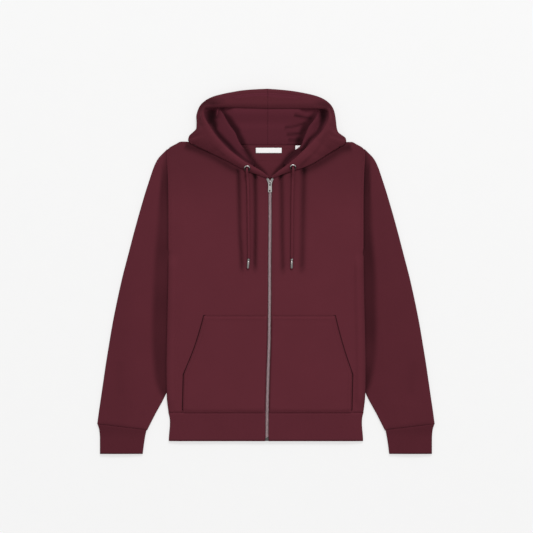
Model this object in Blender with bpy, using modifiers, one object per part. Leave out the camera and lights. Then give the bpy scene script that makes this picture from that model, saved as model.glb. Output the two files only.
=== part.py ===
"""A zip-up hoodie in brushed fleece, laid flat on its back, as its cut and sewn pieces.

The back panel rests on Z = 0, the fronts face +Z and the hood points to +Y. Wearer's left is +X.
Lengths are millimetres until a mesh is made. A cloth piece is a grid of points down the middle of
its cloth, thickened by a Solidify modifier, and pieces stay SEAM_GAP apart where they are sewn.
"""

import math

import bmesh
import bpy
import numpy as np
from mathutils import Vector

COLLECTION = "zip_up_hoodie"
CUTTERS = "zip_up_hoodie_cutters"
MM = 0.001
SEAM_GAP = 0.3
WALL = 2.2
LINING_WALL = 2.0
RIB_WALL = 2.6

# Height over two layers lying on each other, in the middle of the body and at a folded edge.
BODY_LOFT = 8.0
EDGE_LOFT = 6.4
EDGE_WIDTH = 36.0

# The inner edge of each sleeve is pressed flat and lies under the side of the body.
TUCKED_LOFT = 4.8
TUCK_LIFT = TUCKED_LOFT + SEAM_GAP
LIFT_WIDTH = 14.0
LIFT_RUNOUT = 13.0

UNDERARM_Y = 45.0
HEM_SEAM_Y = -339.2
HEM_Y = -407.6
FOLD_TURNS = (24, 47, 69)  # degrees from the top of a folded edge to the seam at its side

# The zip's centre line: y, x
ZIP_LINE = (
    (-407.6, 2.3),
    (-338, 2.8),
    (-285, 4.0),
    (-242, 5.2),
    (-203, 6.6),
    (-165, 7.6),
    (-98, 8.5),
    (27, 9.0),
    (99, 9.7),
    (230, 9.7),
)
ZIP_TOP_Y = 222.5
ZIP_HALF = 4.2  # from the centre line to the edge of each front

# Half-width of the body at its side, below the shoulder tip: y, x
BODY_SIDE = (
    (-407.6, 233.5),
    (-339.2, 234.5),
    (-330, 238.2),
    (-300, 238.4),
    (-273, 239.2),
    (-213, 239.4),
    (-141, 238.0),
    (-69, 236.4),
    (0, 235.2),
    (45, 235.0),
    (110, 235.0),
    (171, 235.2),
    (233, 236.6),
    (267, 238.6),
    (292, 239.5),
)

# The shoulder from the tip to the neck: x, y
SHOULDER = ((239.5, 293.2), (229.0, 299.4), (217.0, 304.9), (205.0, 309.9), (197.0, 310.8))
NECK_OVERLAP = 6.0  # the hood lies this far over the neckline of the fronts
NECK_MARGIN = 0.6  # the last strip of cloth along a neckline
BACK_NECK_Y = 304.0
BACK_NECK_RISE = 4.5

# Rows up the body, and shares of the way from the zip to the side, closer where it is raised.
SIDE_ROWS = 17
ACROSS_FRONT = np.array((0, 0.13, 0.27, 0.41, 0.55, 0.68, 0.79, 0.86, 0.905, 0.94, 0.97, 1.0))

# Sections of a sleeve from the armhole to the cuff: the outer edge, the centre of the inner fold,
# the loft of that fold, the width that stays pressed beside it and the loft of the middle.
SLEEVE_SECTIONS = (
    (239.5, 292.8, 234.4, 49.6, 6.4, 0, 6.4),
    (260.5, 268.0, 237.2, 49.2, 6.4, 0, 7.2),
    (281.0, 215.0, 239.4, 45.0, 6.2, 0, 8.0),
    (299.0, 157.0, 239.4, 35.0, 5.8, 0, 8.4),
    (316.0, 97.0, 238.6, 18.0, 5.0, 2, 8.4),
    (331.5, 38.0, 238.4, -2.0, 4.8, 6, 8.4),
    (345.0, -14.0, 233.0, -36.0, 4.8, 12, 8.4),
    (357.5, -70.0, 229.0, -82.0, 4.8, 17, 8.4),
    (368.5, -125.0, 229.6, -135.0, 4.8, 17, 8.4),
    (377.0, -175.0, 230.2, -190.0, 4.8, 17, 8.4),
    (384.0, -218.0, 230.8, -240.0, 4.8, 16, 8.4),
    (390.5, -262.0, 236.4, -278.0, 4.8, 10, 8.2),
    (396.0, -300.0, 246.6, -303.0, 4.8, 3, 8.0),
    (401.0, -334.0, 267.6, -341.0, 5.4, 0, 8.0),
    (405.5, -367.3, 288.6, -381.4, 6.4, 0, 8.0),
)

# Sections of a cuff: outer x and y, inner x and y
CUFF_SECTIONS = (
    (404.2, -368.6, 286.4, -383.0),
    (399.4, -384.0, 290.0, -397.0),
    (398.0, -402.0, 292.6, -412.0),
    (398.0, -438.4, 296.6, -438.4),
)
CUFF_LOFT = 8.0

POCKET_TOP = 156.6  # from the zip to the pocket's top corner
POCKET_SIDE = 202.0  # from the zip to its upright edge
POCKET_TOP_Y = -106.5
POCKET_CORNER_Y = -247.0
POCKET_ZIP = 6.0

# Sections of the hood from the zip to the middle of the forehead: the rim of the opening, the lower
# or outer edge, the seam at the neck, the inner fold of the lining and the hollow beside the rim.
HOOD_COLUMNS = (
    "rim_x rim_y rim_z edge_x edge_y neck_x fold_x fold_y fold_z hollow_x hollow_y hollow_z"
).split()
HOOD_RIGHT = (
    (6.2, 225.0, 10.5, 2.0, 223.6, 2.0, 3.6, 226.8, 8.0, 3.4, 225.6, 8.0),
    (-14.8, 240.3, 12.4, -20.3, 232.5, -20.3, -14.5, 241.8, 9.4, -15.6, 240.7, 9.4),
    (-46.5, 258.2, 15.0, -48.0, 242.0, -48.0, -40.0, 275.9, 11.0, -47.0, 266.0, 9.6),
    (-86.1, 287.0, 18.5, -96.0, 267.2, -96.0, -64.5, 309.2, 12.0, -79.4, 293.0, 9.0),
    (-110.1, 310.7, 21.5, -143.9, 290.5, -143.9, -73.0, 329.6, 12.8, -103.5, 314.5, 8.8),
    (-127.1, 331.7, 23.0, -187.0, 315.6, -183.0, -86.5, 348.8, 13.2, -120.5, 338.0, 8.8),
    (-138.5, 349.6, 24.0, -167.2, 343.0, -173.5, -94.4, 361.6, 13.2, -125.9, 357.2, 8.8),
    (-149.3, 370.6, 24.0, -167.4, 371.0, -166.0, -102.0, 376.5, 13.2, -129.5, 375.2, 8.8),
    (-148.1, 386.5, 24.0, -158.8, 396.8, -150.0, -107.9, 386.2, 13.5, -128.3, 386.2, 9.0),
    (-138.0, 393.2, 24.0, -139.0, 413.8, -125.0, -112.0, 404.0, 14.0, -124.7, 395.5, 14.0),
    (-100.7, 394.4, 23.5, -110.3, 424.2, -87.0, -103.0, 414.0, 13.5, -101.0, 400.0, 18.6),
    (-47.9, 393.2, 23.0, -52.7, 434.8, -40.0, -50.0, 425.0, 13.5, -48.0, 400.0, 18.6),
    (3.5, 391.6, 23.0, 3.5, 438.2, 3.5, 3.5, 428.0, 13.5, 3.5, 399.0, 18.6),
)
HOOD_LEFT = (
    (13.0, 225.0, 10.5, 17.4, 223.6, 17.4, 15.8, 226.8, 8.0, 16.0, 225.6, 8.0),
    (33.3, 240.1, 12.4, 39.5, 233.0, 40.5, 33.0, 241.6, 9.4, 34.1, 240.5, 9.4),
    (62.7, 262.3, 15.0, 68.0, 242.0, 68.0, 53.5, 274.0, 11.0, 64.0, 266.0, 9.6),
    (91.4, 288.2, 18.5, 108.0, 256.4, 108.0, 82.5, 299.5, 12.0, 94.0, 293.5, 9.0),
    (111.4, 307.6, 21.5, 150.0, 282.5, 150.0, 89.0, 312.2, 12.8, 104.0, 312.5, 8.8),
    (131.6, 329.3, 23.0, 193.0, 312.6, 185.0, 96.0, 330.0, 13.2, 117.5, 332.0, 8.8),
    (141.6, 343.0, 24.0, 173.0, 334.0, 176.0, 103.5, 347.0, 13.2, 126.0, 350.0, 8.8),
    (150.0, 361.0, 24.0, 168.3, 359.0, 169.0, 116.5, 364.0, 13.2, 134.0, 363.0, 8.8),
    (151.1, 378.1, 24.0, 164.0, 384.0, 156.0, 123.0, 380.5, 13.5, 134.0, 377.0, 9.0),
    (144.0, 388.8, 24.0, 151.5, 404.0, 136.0, 122.0, 398.0, 14.0, 135.0, 388.5, 14.0),
    (118.0, 391.4, 23.5, 122.0, 420.6, 100.0, 119.0, 410.0, 13.5, 117.0, 398.5, 18.6),
    (62.0, 391.8, 23.0, 62.0, 433.0, 52.0, 61.0, 423.0, 13.5, 61.5, 399.0, 18.6),
    (3.9, 391.6, 23.0, 3.9, 438.2, 3.9, 3.9, 428.0, 13.5, 3.9, 399.0, 18.6),
)
NECK_POINT_ROW = 5
HOOD_FOLD = 8.5  # outer radius of the folded edge of the hood

# Where the hood's pieces have a row of points, as places along its sections.
HOOD_PLACES = (0, 0.5, 1, 1.5, 2, 2.5, 3, 3.5, 4, 4.5, 4.9, 5, 5.3, 5.6, 6, 6.5, 7, 7.5, 8, 8.5)
HOOD_PLACES += (9, 9.5, 10, 10.5, 11, 11.5, 12)

# The lining starts a little above the zip; its lowest layer lies on the back of the hood.
LINING_START = 1.5
LINING_FLOOR_Z = WALL + SEAM_GAP + LINING_WALL / 2
LINING_LOW_Z = LINING_FLOOR_Z + LINING_WALL + 2 * SEAM_GAP

# Labels lying inside the back of the neck: centre x and y, width, height
NECK_LABEL = (6.7, 290.4, 62.0, 14.0)
SIZE_LABEL = (77.5, 297.2, 14.0, 11.0)
LABEL_THICK = 0.8

EYELET_PLACES = {-1: (1.93, 0.6), 1: (1.96, 0.6)}  # along and across the hood's sections
EYELET_PROFILE = ((3.9, 0.0), (3.9, 1.3), (5.2, 1.7), (6.6, 1.4), (7.6, 0.0))  # radius, height
CORD_DIAMETER = 6.4
TIP_RADIUS = 3.0

# The middle of each cord after it leaves its eyelet, and the end of its metal tip: x, y, z
CORD_ROUTES = {
    -1: (
        (-45.4, 244.6, 20.0),
        (-45.6, 240.6, 20.6),
        (-45.5, 234.6, 18.4),
        (-44.9, 227.5, 14.6),
        (-44.1, 217.0, 12.2),
        (-43.4, 203.0, 11.8),
        (-42.4, 170.0, 11.7),
        (-42.0, 130.0, 11.7),
        (-41.6, 80.0, 11.7),
        (-41.2, 44.0, 11.7),
        (-41.3, 36.0, 11.7),
        (-41.6, 30.5, 11.7),
    ),
    1: (
        (65.2, 247.0, 20.4),
        (65.2, 243.0, 21.0),
        (65.0, 237.0, 19.0),
        (64.6, 229.0, 14.8),
        (64.1, 218.0, 12.2),
        (63.7, 204.0, 11.8),
        (63.0, 170.0, 11.7),
        (62.6, 130.0, 11.7),
        (62.4, 80.0, 11.7),
        (62.1, 44.0, 11.7),
        (62.0, 36.0, 11.7),
        (62.0, 30.5, 11.7),
    ),
}
TIP_ENDS = {-1: (-43.3, 6.4, 11.4), 1: (61.6, 6.4, 11.4)}

# The zip's chain and tapes, the box at its foot and the slider with its pull tab.
TAPE_LOW, TAPE_HIGH = 4.2, 5.1
TAPE_REACH = 15.0
CHAIN_HALF = 3.0
CHAIN_LOW, CHAIN_HIGH = 4.9, 7.9
BOX_TOP_Y, BOX_BOTTOM_Y = -398.5, -407.0
BOX_HALF = 3.7
BOX_LOW, BOX_HIGH = 5.4, 8.6
SLIDER_Y = 214.6
SLIDER_LENGTH = 13.0
SLIDER_HALF = 5.8
SLIDER_CORE_HALF = 3.5
SLIDER_FLOOR, SLIDER_STEP, SLIDER_TOP = 5.4, 8.4, 10.0
BRIDGE_HALF, BRIDGE_LEG, BRIDGE_WIDTH = 4.0, 1.4, 2.4
BRIDGE_RISE, BRIDGE_OPENING = 3.8, 2.6
PIVOT_RISE = 1.3
TAB_HALF, TAB_LENGTH, TAB_THICK = 3.8, 25.0, 1.2
TAB_BAR, TAB_WINDOW_HALF, TAB_WINDOW_END = 0.7, 2.1, 5.7
TAB_HOLES = (10.5, 20.0)
TAB_HOLE_RADIUS = 1.3
TAB_DROOP = 5.0  # degrees below level, so that the tab's end rests on the cloth


def smooth(value):
    value = np.clip(value, 0, 1)
    return value * value * (3 - 2 * value)


def mix(start, end, share):
    return start + (end - start) * share


def spline(rows):
    """The smooth function through rows of a rising key and its values."""
    rows = np.array(rows, float)
    key, value = rows[:, 0], rows[:, 1:]
    slope = np.gradient(value, key, axis=0)

    def at(where):
        where = np.clip(np.atleast_1d(np.asarray(where, float)), key[0], key[-1])
        i = np.clip(np.searchsorted(key, where) - 1, 0, len(key) - 2)
        span = (key[i + 1] - key[i])[:, None]
        f = (where - key[i])[:, None] / span
        start = (2 * f**3 - 3 * f**2 + 1) * value[i] + (f**3 - 2 * f**2 + f) * span * slope[i]
        end = (3 * f**2 - 2 * f**3) * value[i + 1] + (f**3 - f**2) * span * slope[i + 1]
        return start + end

    return at


def trace(points, count):
    """count points evenly along the smooth curve through some points."""
    points = np.array(points, float)
    steps = np.linalg.norm(np.diff(points, axis=0), axis=1)
    length = np.concatenate([[0], np.cumsum(steps)])
    curve = spline(np.column_stack([length, points]))
    return curve(np.linspace(0, length[-1], count))


zip_x_at = spline(ZIP_LINE)
side_x_at = spline(BODY_SIDE)


def zip_x(y):
    return zip_x_at(y)[..., 0]


def side_x(y):
    return side_x_at(y)[..., 0]


def lift(x, y):
    """How far the body is raised where the sleeve's inner edge lies under it."""
    started = smooth((UNDERARM_Y - y) / 38)
    ended = smooth((y + 336) / 32)
    inwards = side_x(y) - np.abs(x)
    return TUCK_LIFT * started * ended * (1 - smooth((inwards - LIFT_WIDTH) / LIFT_RUNOUT))


def body_loft(x, y):
    inwards = side_x(y) - np.abs(x)
    from_shoulder = 316 - 0.12 * np.abs(x) - y
    nearest = np.minimum(inwards, from_shoulder)
    return mix(EDGE_LOFT, BODY_LOFT, smooth(nearest / EDGE_WIDTH))


def front_top(x, y):
    """The height of the outer face of the fronts."""
    return lift(x, y) + body_loft(x, y)


def patch(bottom, top, left, right):
    """Points between four edges that meet at their ends, one row for each point of left."""
    u = np.linspace(0, 1, len(bottom))[None, :, None]
    v = np.linspace(0, 1, len(left))[:, None, None]
    across = mix(left[:, None], right[:, None], u)
    along = mix(bottom[None], top[None], v)
    corners = mix(mix(bottom[0], bottom[-1], u), mix(top[0], top[-1], u), v)
    return across + along - corners


def material(name, colour, roughness, metallic=0.0):
    made = bpy.data.materials.new(name)
    made.use_nodes = True
    shader = made.node_tree.nodes["Principled BSDF"]
    shader.inputs["Base Color"].default_value = (*colour, 1)
    shader.inputs["Roughness"].default_value = roughness
    shader.inputs["Metallic"].default_value = metallic
    return made


def finish(name, mesh, surface):
    mesh.materials.append(surface)
    made = bpy.data.objects.new(name, mesh)
    bpy.data.collections[COLLECTION].objects.link(made)
    return made


def cloth(name, grid, wall, surface, tube=False):
    """A cloth piece from rows of points in millimetres; a tube's rows are closed rings."""
    rows, columns = grid.shape[:2]
    shape = bmesh.new()
    points = [[shape.verts.new(point * MM) for point in row] for row in grid]
    for j in range(rows - 1):
        for i in range(columns if tube else columns - 1):
            k = (i + 1) % columns
            shape.faces.new((points[j][i], points[j][k], points[j + 1][k], points[j + 1][i]))
    bmesh.ops.remove_doubles(shape, verts=shape.verts, dist=0.02 * MM)
    bmesh.ops.dissolve_degenerate(shape, dist=0.02 * MM, edges=shape.edges)
    mesh = bpy.data.meshes.new(name)
    shape.to_mesh(mesh)
    shape.free()
    mesh.shade_smooth()
    made = finish(name, mesh, surface)
    thick = made.modifiers.new("wall", "SOLIDIFY")
    thick.thickness = wall * MM
    thick.offset = 0
    return made


def flat_piece(name, outline, low, high, surface, holes=()):
    """A flat outline in x and y, in millimetres, from one height to another."""
    data = bpy.data.curves.new(name, "CURVE")
    data.dimensions = "2D"
    data.fill_mode = "BOTH"
    data.extrude = (high - low) / 2 * MM
    for points in (outline, *holes):
        line = data.splines.new("POLY")
        line.points.add(len(points) - 1)
        for at, (x, y) in zip(line.points, points):
            at.co = (x * MM, y * MM, 0, 1)
        line.use_cyclic_u = True
    data.materials.append(surface)
    made = bpy.data.objects.new(name, data)
    made.location.z = (low + high) / 2 * MM
    bpy.data.collections[COLLECTION].objects.link(made)
    return made


def prism(name, outline, depth, surface):
    """A straight bar along Z, centred on its middle, from an outline in millimetres."""
    shape = bmesh.new()
    low = [shape.verts.new((x * MM, y * MM, -depth / 2 * MM)) for x, y in outline]
    made = bmesh.ops.extrude_face_region(shape, geom=[shape.faces.new(low)])
    moved = [item for item in made["geom"] if isinstance(item, bmesh.types.BMVert)]
    bmesh.ops.translate(shape, verts=moved, vec=(0, 0, depth * MM))
    bmesh.ops.recalc_face_normals(shape, faces=shape.faces)
    mesh = bpy.data.meshes.new(name)
    shape.to_mesh(mesh)
    shape.free()
    return finish(name, mesh, surface)


def block(name, size, centre, surface):
    """A box from its size and centre in millimetres."""
    shape = bmesh.new()
    bmesh.ops.create_cube(shape, size=1)
    bmesh.ops.scale(shape, verts=shape.verts, vec=[side * MM for side in size])
    mesh = bpy.data.meshes.new(name)
    shape.to_mesh(mesh)
    shape.free()
    made = finish(name, mesh, surface)
    made.location = [place * MM for place in centre]
    return made


def hem_row(y, side):
    """Points along a line of constant y, from the zip to the top of the side fold."""
    inner = zip_x(y) + side * ZIP_HALF
    outer = side * (side_x(y) - EDGE_LOFT / 2)
    x = mix(inner, outer, ACROSS_FRONT)
    return np.column_stack([x, np.full(len(x), y)])


def back_neck_y(x):
    return BACK_NECK_Y + BACK_NECK_RISE * (np.abs(x) / 192) ** 2


def rolled_edges(plan, side_ends, shoulder_columns, sign):
    """Rows and columns added to a panel's plan, with the drop of each point round the folded edges.

    side_ends holds the columns at the folded sides; sign is -1 for the fronts, which roll down to
    the side seam, and 1 for the back, which rolls up to it.
    """
    turns = np.radians(FOLD_TURNS)
    radius = (EDGE_LOFT - WALL) / 2
    rise = np.zeros(plan.shape[:2])
    for side, at_end in side_ends:
        edge = plan[:, -1] if at_end else plan[:, 0]
        folded = smooth((UNDERARM_Y - edge[:, 1]) / 10)
        for turn in turns:
            flat_step = radius * turn / turns[-1]
            step = mix(flat_step, radius * math.sin(turn), folded)
            new = edge + np.column_stack([side * step, np.zeros(len(step))])
            new_rise = sign * radius * (1 - math.cos(turn)) * folded
            plan = np.insert(plan, plan.shape[1] if at_end else 0, new, axis=1)
            rise = np.insert(rise, rise.shape[1] if at_end else 0, new_rise, axis=1)
    top, top_rise = plan[-1], rise[-1]
    shares = np.array([shoulder_columns(x) for x in top[:, 0]])
    for turn in turns:
        step = mix(NECK_MARGIN * turn / turns[-1], radius * math.sin(turn), shares)
        new = top + np.column_stack([np.zeros(len(step)), step])
        new_rise = top_rise + sign * radius * (1 - math.cos(turn)) * shares
        plan = np.vstack([plan, new[None]])
        rise = np.vstack([rise, new_rise[None]])
    return plan, rise


def on_shoulder(x):
    """1 on the shoulder's folded edge and 0 on the neckline."""
    return float(smooth((abs(x) - 190) / 10))


def armhole_and_side(side, rows):
    """The top of the fold from the hem up to the shoulder tip."""
    y = np.linspace(HEM_SEAM_Y + SEAM_GAP / 2, SHOULDER[0][1] - EDGE_LOFT / 2, rows)
    return np.column_stack([side * (side_x(y) - EDGE_LOFT / 2), y])


def crest(side):
    """Points along the top of the shoulder's fold, from the tip to the neck."""
    return [(side * x, y - EDGE_LOFT / 2) for x, y in SHOULDER[1:]]


def neckline(side):
    """Points along the front's neckline, under the hood's edge, from the zip to the shoulder."""
    values = hood_rows(side)
    points = []
    for row in (1, 2, 3, 4, 4.7):
        rim, edge = plan_point(values(row), "rim"), plan_point(values(row), "edge")
        points.append(edge + NECK_OVERLAP * (rim - edge) / np.linalg.norm(rim - edge))
    return points


def resampled(points, shares):
    """Points at shares of the length of the line through some points."""
    points = np.array(points, float)
    length = np.concatenate([[0], np.cumsum(np.linalg.norm(np.diff(points, axis=0), axis=1))])
    return np.column_stack([np.interp(shares * length[-1], length, axis) for axis in points.T])


def make_front(name, side, surface):
    low = HEM_SEAM_Y + SEAM_GAP / 2
    bottom = hem_row(low, side)
    outer = armhole_and_side(side, SIDE_ROWS)
    y = np.linspace(low, ZIP_TOP_Y, SIDE_ROWS)
    inner = np.column_stack([zip_x(y) + side * ZIP_HALF, y])
    top = resampled([inner[-1], *neckline(side), *crest(side)[::-1], outer[-1]], ACROSS_FRONT)
    plan = patch(bottom, top, inner, outer)
    plan, rise = rolled_edges(plan, ((side, True),), on_shoulder, -1)
    x, y = plan[..., 0], plan[..., 1]
    z = front_top(x, y) - WALL / 2 + rise
    return cloth(name, np.dstack([x, y, z]), WALL, surface)


def make_back(surface):
    low = HEM_SEAM_Y + SEAM_GAP / 2
    bottom = np.vstack([hem_row(low, -1)[::-1], hem_row(low, 1)[1:]])
    left, right = armhole_and_side(-1, SIDE_ROWS), armhole_and_side(1, SIDE_ROWS)
    neck = [(x, back_neck_y(x) - NECK_MARGIN) for x in np.linspace(-186, 186, 9)]
    shares = np.concatenate([(1 - ACROSS_FRONT[::-1]) / 2, (1 + ACROSS_FRONT[1:]) / 2])
    top = resampled([left[-1], *crest(-1)[:-1], *neck, *crest(1)[-2::-1], right[-1]], shares)
    plan = patch(bottom, top, left, right)
    plan, rise = rolled_edges(plan, ((-1, False), (1, True)), on_shoulder, 1)
    x, y = plan[..., 0], plan[..., 1]
    z = lift(x, y) + WALL / 2 + rise
    return cloth("back", np.dstack([x, y, z]), WALL, surface)


def ring(outer, fold, fold_loft, pressed, loft, edge_loft, wall):
    """A flattened ring of cloth on Z = 0 from its inner fold to its outer edge, as its middle."""
    outer, fold = np.array(outer, float), np.array(fold, float)
    width = np.linalg.norm(outer - fold)
    direction = (outer - fold) / width
    low, high = fold_loft / 2, edge_loft / 2
    along = (width - high) * np.array((0, 0.07, 0.15, 0.25, 0.38, 0.52, 0.67, 0.83, 1.0))
    rise = smooth((along - pressed) / 42)
    fall = smooth((width - high - along) / 34)
    top = mix(fold_loft, loft, rise)
    top = mix(edge_loft, top, fall)
    points = [(place, height - wall / 2) for place, height in zip(along, top)]
    for turn in np.radians((54, 18, -18, -54)):
        radius = high - wall / 2
        points.append((width - high + radius * math.cos(turn), high + radius * math.sin(turn)))
    points += [(place, wall / 2) for place in along[::-1]]
    for turn in np.radians((-54, -18, 18, 54)):
        radius = low - wall / 2
        points.append((-radius * math.cos(turn), low + radius * math.sin(turn)))
    return np.array([(*(fold + direction * place), z) for place, z in points])


def make_sleeve(name, side, surface):
    rings = []
    for outer_x, outer_y, fold_x, fold_y, fold_loft, pressed, loft in SLEEVE_SECTIONS:
        at = ring((outer_x, outer_y), (fold_x, fold_y), fold_loft, pressed, loft, EDGE_LOFT, WALL)
        rings.append(at)
    armhole = rings[0]
    armhole[:, 0] = side_x(armhole[:, 1]) - WALL / 2 + 3 * SEAM_GAP
    grid = np.array(rings)
    grid[..., 0] *= side
    return cloth(name, grid, WALL, surface, tube=True)


def make_cuff(name, side, surface):
    rings = []
    for outer_x, outer_y, inner_x, inner_y in CUFF_SECTIONS:
        direction = np.array((outer_x - inner_x, outer_y - inner_y))
        direction /= np.linalg.norm(direction)
        fold = np.array((inner_x, inner_y)) + direction * EDGE_LOFT / 2
        rings.append(ring((outer_x, outer_y), fold, EDGE_LOFT, 0, CUFF_LOFT, EDGE_LOFT, RIB_WALL))
    grid = np.array(rings)
    grid[..., 0] *= side
    return cloth(name, grid, RIB_WALL, surface, tube=True)


def make_hem_band(surface):
    """One strip round the hem, from the zip over both side folds and along the floor."""
    rows = []
    for y in np.linspace(HEM_SEAM_Y - SEAM_GAP / 2, HEM_Y, 4):
        half = []
        for side in (-1, 1):
            top = hem_row(y, side)
            height = body_loft(top[:, 0], top[:, 1]) - RIB_WALL / 2
            points = [(x, y, z) for (x, _), z in zip(top, height)]
            radius = (EDGE_LOFT - RIB_WALL) / 2
            edge = side_x(y)[0] - EDGE_LOFT / 2
            for turn in np.radians((60, 30, 0, -30, -60)):
                x = side * (edge + radius * math.cos(turn))
                points.append((x, y, EDGE_LOFT / 2 + radius * math.sin(turn)))
            half.append(points)
        floor_x = np.linspace(-1, 1, 17) * (side_x(y)[0] - EDGE_LOFT / 2)
        floor = [(x, y, RIB_WALL / 2) for x in floor_x]
        rows.append(half[0] + floor + half[1][::-1])
    return cloth("hem_band", np.array(rows), RIB_WALL, surface)


def make_pocket(name, side, surface):
    """Half of the front pocket, on the outer points of its front."""
    low = HEM_SEAM_Y + SEAM_GAP / 2
    rows, columns = 9, 8
    y = np.linspace(low, POCKET_TOP_Y, rows)
    inner = np.column_stack([zip_x(y) + side * POCKET_ZIP, y])
    share = np.clip((y - POCKET_CORNER_Y) / (POCKET_TOP_Y - POCKET_CORNER_Y), 0, 1)
    reach = mix(POCKET_SIDE, POCKET_TOP, share)
    outer = np.column_stack([zip_x(y) + side * reach, y])
    bottom = mix(inner[0], outer[0], np.linspace(0, 1, columns)[:, None])
    top = mix(inner[-1], outer[-1], np.linspace(0, 1, columns)[:, None])
    plan = patch(bottom, top, inner, outer)
    x, y = plan[..., 0], plan[..., 1]
    z = front_top(x, y) + 2 * SEAM_GAP + WALL / 2
    return cloth(name, np.dstack([x, y, z]), WALL, surface)


def hood_rows(side):
    """The hood's columns as functions of the place along its sections, wearer's right or left."""
    table = HOOD_LEFT if side > 0 else HOOD_RIGHT
    at = spline([(row, *values) for row, values in enumerate(table)])

    def values(row):
        return dict(zip(HOOD_COLUMNS, at(row)[0]))

    return values


def plan_point(values, name):
    return np.array((values[name + "_x"], values[name + "_y"]))


def hood_section(values, row):
    """Points down the middle of the hood's outer cloth from the rim to the seam at the neck."""
    rim, edge = plan_point(values, "rim"), plan_point(values, "edge")
    neck = np.array((values["neck_x"], back_neck_y(values["neck_x"]) + SEAM_GAP))
    inwards = (rim - edge) / np.linalg.norm(rim - edge)
    on_front = BODY_LOFT + SEAM_GAP + WALL / 2
    folded = row >= NECK_POINT_ROW
    growth = smooth((row - NECK_POINT_ROW) / 1.0)
    edge_z = mix(on_front, 2 * HOOD_FOLD - WALL / 2, growth)
    radius = (edge_z - WALL / 2) / 2
    centre = edge + inwards * (radius + WALL / 2) if folded else edge
    share = np.linspace(0, 1, 8)
    crown = 1.6 * np.sin(math.pi * share) * smooth(row / 3)
    top = mix(rim, centre, share[:, None])
    heights = mix(values["rim_z"], edge_z, share) + crown
    points = [(*place, z) for place, z in zip(top, heights)]
    if not folded:
        return points + [points[-1]] * 9
    for turn in np.radians((60, 30, 0, -30, -60)):
        place = centre - inwards * radius * math.cos(turn)
        points.append((*place, WALL / 2 + radius + radius * math.sin(turn)))
    for share in (0, 0.33, 0.67, 1):
        points.append((*mix(centre, neck, share), WALL / 2))
    return points


def make_hood(name, side, surface):
    values = hood_rows(side)
    grid = np.array([hood_section(values(row), row) for row in HOOD_PLACES])
    return cloth(name, grid, WALL, surface)


def lining_section(values, row):
    """Points down the middle of the lining, from under the rim round its fold to the neck."""
    rim, edge = plan_point(values, "rim"), plan_point(values, "edge")
    hollow, fold = plan_point(values, "hollow"), plan_point(values, "fold")
    outwards = (edge - rim) / np.linalg.norm(edge - rim)
    low = mix(LINING_LOW_Z, LINING_FLOOR_Z, smooth((row - 8) / 1.0))
    across = (fold - hollow) / np.linalg.norm(fold - hollow)
    radius = (values["fold_z"] - low) / 2
    centre = fold - across * radius
    start = rim + outwards * 0.8
    start_z = values["rim_z"] - WALL - 3 * SEAM_GAP
    points = [(*start, start_z)]
    points.append((*mix(start, hollow, 0.55), mix(start_z, values["hollow_z"], 0.55)))
    points.append((*hollow, values["hollow_z"]))
    points.append((*mix(hollow, centre, 0.5), mix(values["hollow_z"], values["fold_z"], 0.6)))
    for turn in np.radians((90, 45, 0, -45, -90)):
        place = centre + across * radius * math.cos(turn)
        points.append((*place, low + radius + radius * math.sin(turn)))
    if row < NECK_POINT_ROW:
        end = edge - outwards * (NECK_OVERLAP + 3.0)
        end_z = BODY_LOFT - WALL / 2
    else:
        x = 0.92 * values["neck_x"]
        end = np.array((x, back_neck_y(x) + 2 * SEAM_GAP))
        end_z = LINING_FLOOR_Z
    for share in (0.25, 0.5, 0.75, 1):
        drop = smooth(share) if row < NECK_POINT_ROW else smooth((share - 0.35) / 0.5)
        points.append((*mix(centre, end, share), mix(low, end_z, drop)))
    return points


def make_lining(name, side, surface):
    values = hood_rows(side)
    places = [row for row in HOOD_PLACES if row >= LINING_START]
    grid = np.array([lining_section(values(row), row) for row in places])
    return cloth(name, grid, LINING_WALL, surface)


def oblong(half_width, low_y, high_y):
    return [(-half_width, low_y), (half_width, low_y), (half_width, high_y), (-half_width, high_y)]


def zip_strip(name, left, right, low, high, bottom_y, top_y, surface):
    """A flat strip that follows the zip, between two distances from its centre line."""
    y = np.linspace(bottom_y, top_y, 15)
    x = zip_x(y)
    there = list(zip(x + left, y))
    back = list(zip(x + right, y))[::-1]
    return flat_piece(name, there + back, low, high, surface)


def make_zip(cloth_surface, metal):
    for side, word in ((-1, "right"), (1, "left")):
        reach = sorted((side * (CHAIN_HALF + SEAM_GAP), side * TAPE_REACH))
        top = ZIP_TOP_Y - 1.5
        zip_strip("zip_tape_" + word, *reach, TAPE_LOW, TAPE_HIGH, HEM_Y + 1.5, top, cloth_surface)
    chain_top = SLIDER_Y - SLIDER_LENGTH / 2 - SEAM_GAP
    chain = (-CHAIN_HALF, CHAIN_HALF, CHAIN_LOW, CHAIN_HIGH, BOX_TOP_Y + SEAM_GAP, chain_top)
    zip_strip("zip_chain", *chain, metal)
    size = (2 * BOX_HALF, BOX_TOP_Y - BOX_BOTTOM_Y, BOX_HIGH - BOX_LOW)
    middle = (zip_x(HEM_Y)[0], (BOX_TOP_Y + BOX_BOTTOM_Y) / 2, (BOX_HIGH + BOX_LOW) / 2)
    block("zip_box", size, middle, metal)
    make_slider(metal)
    make_pull_tab(metal)


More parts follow.
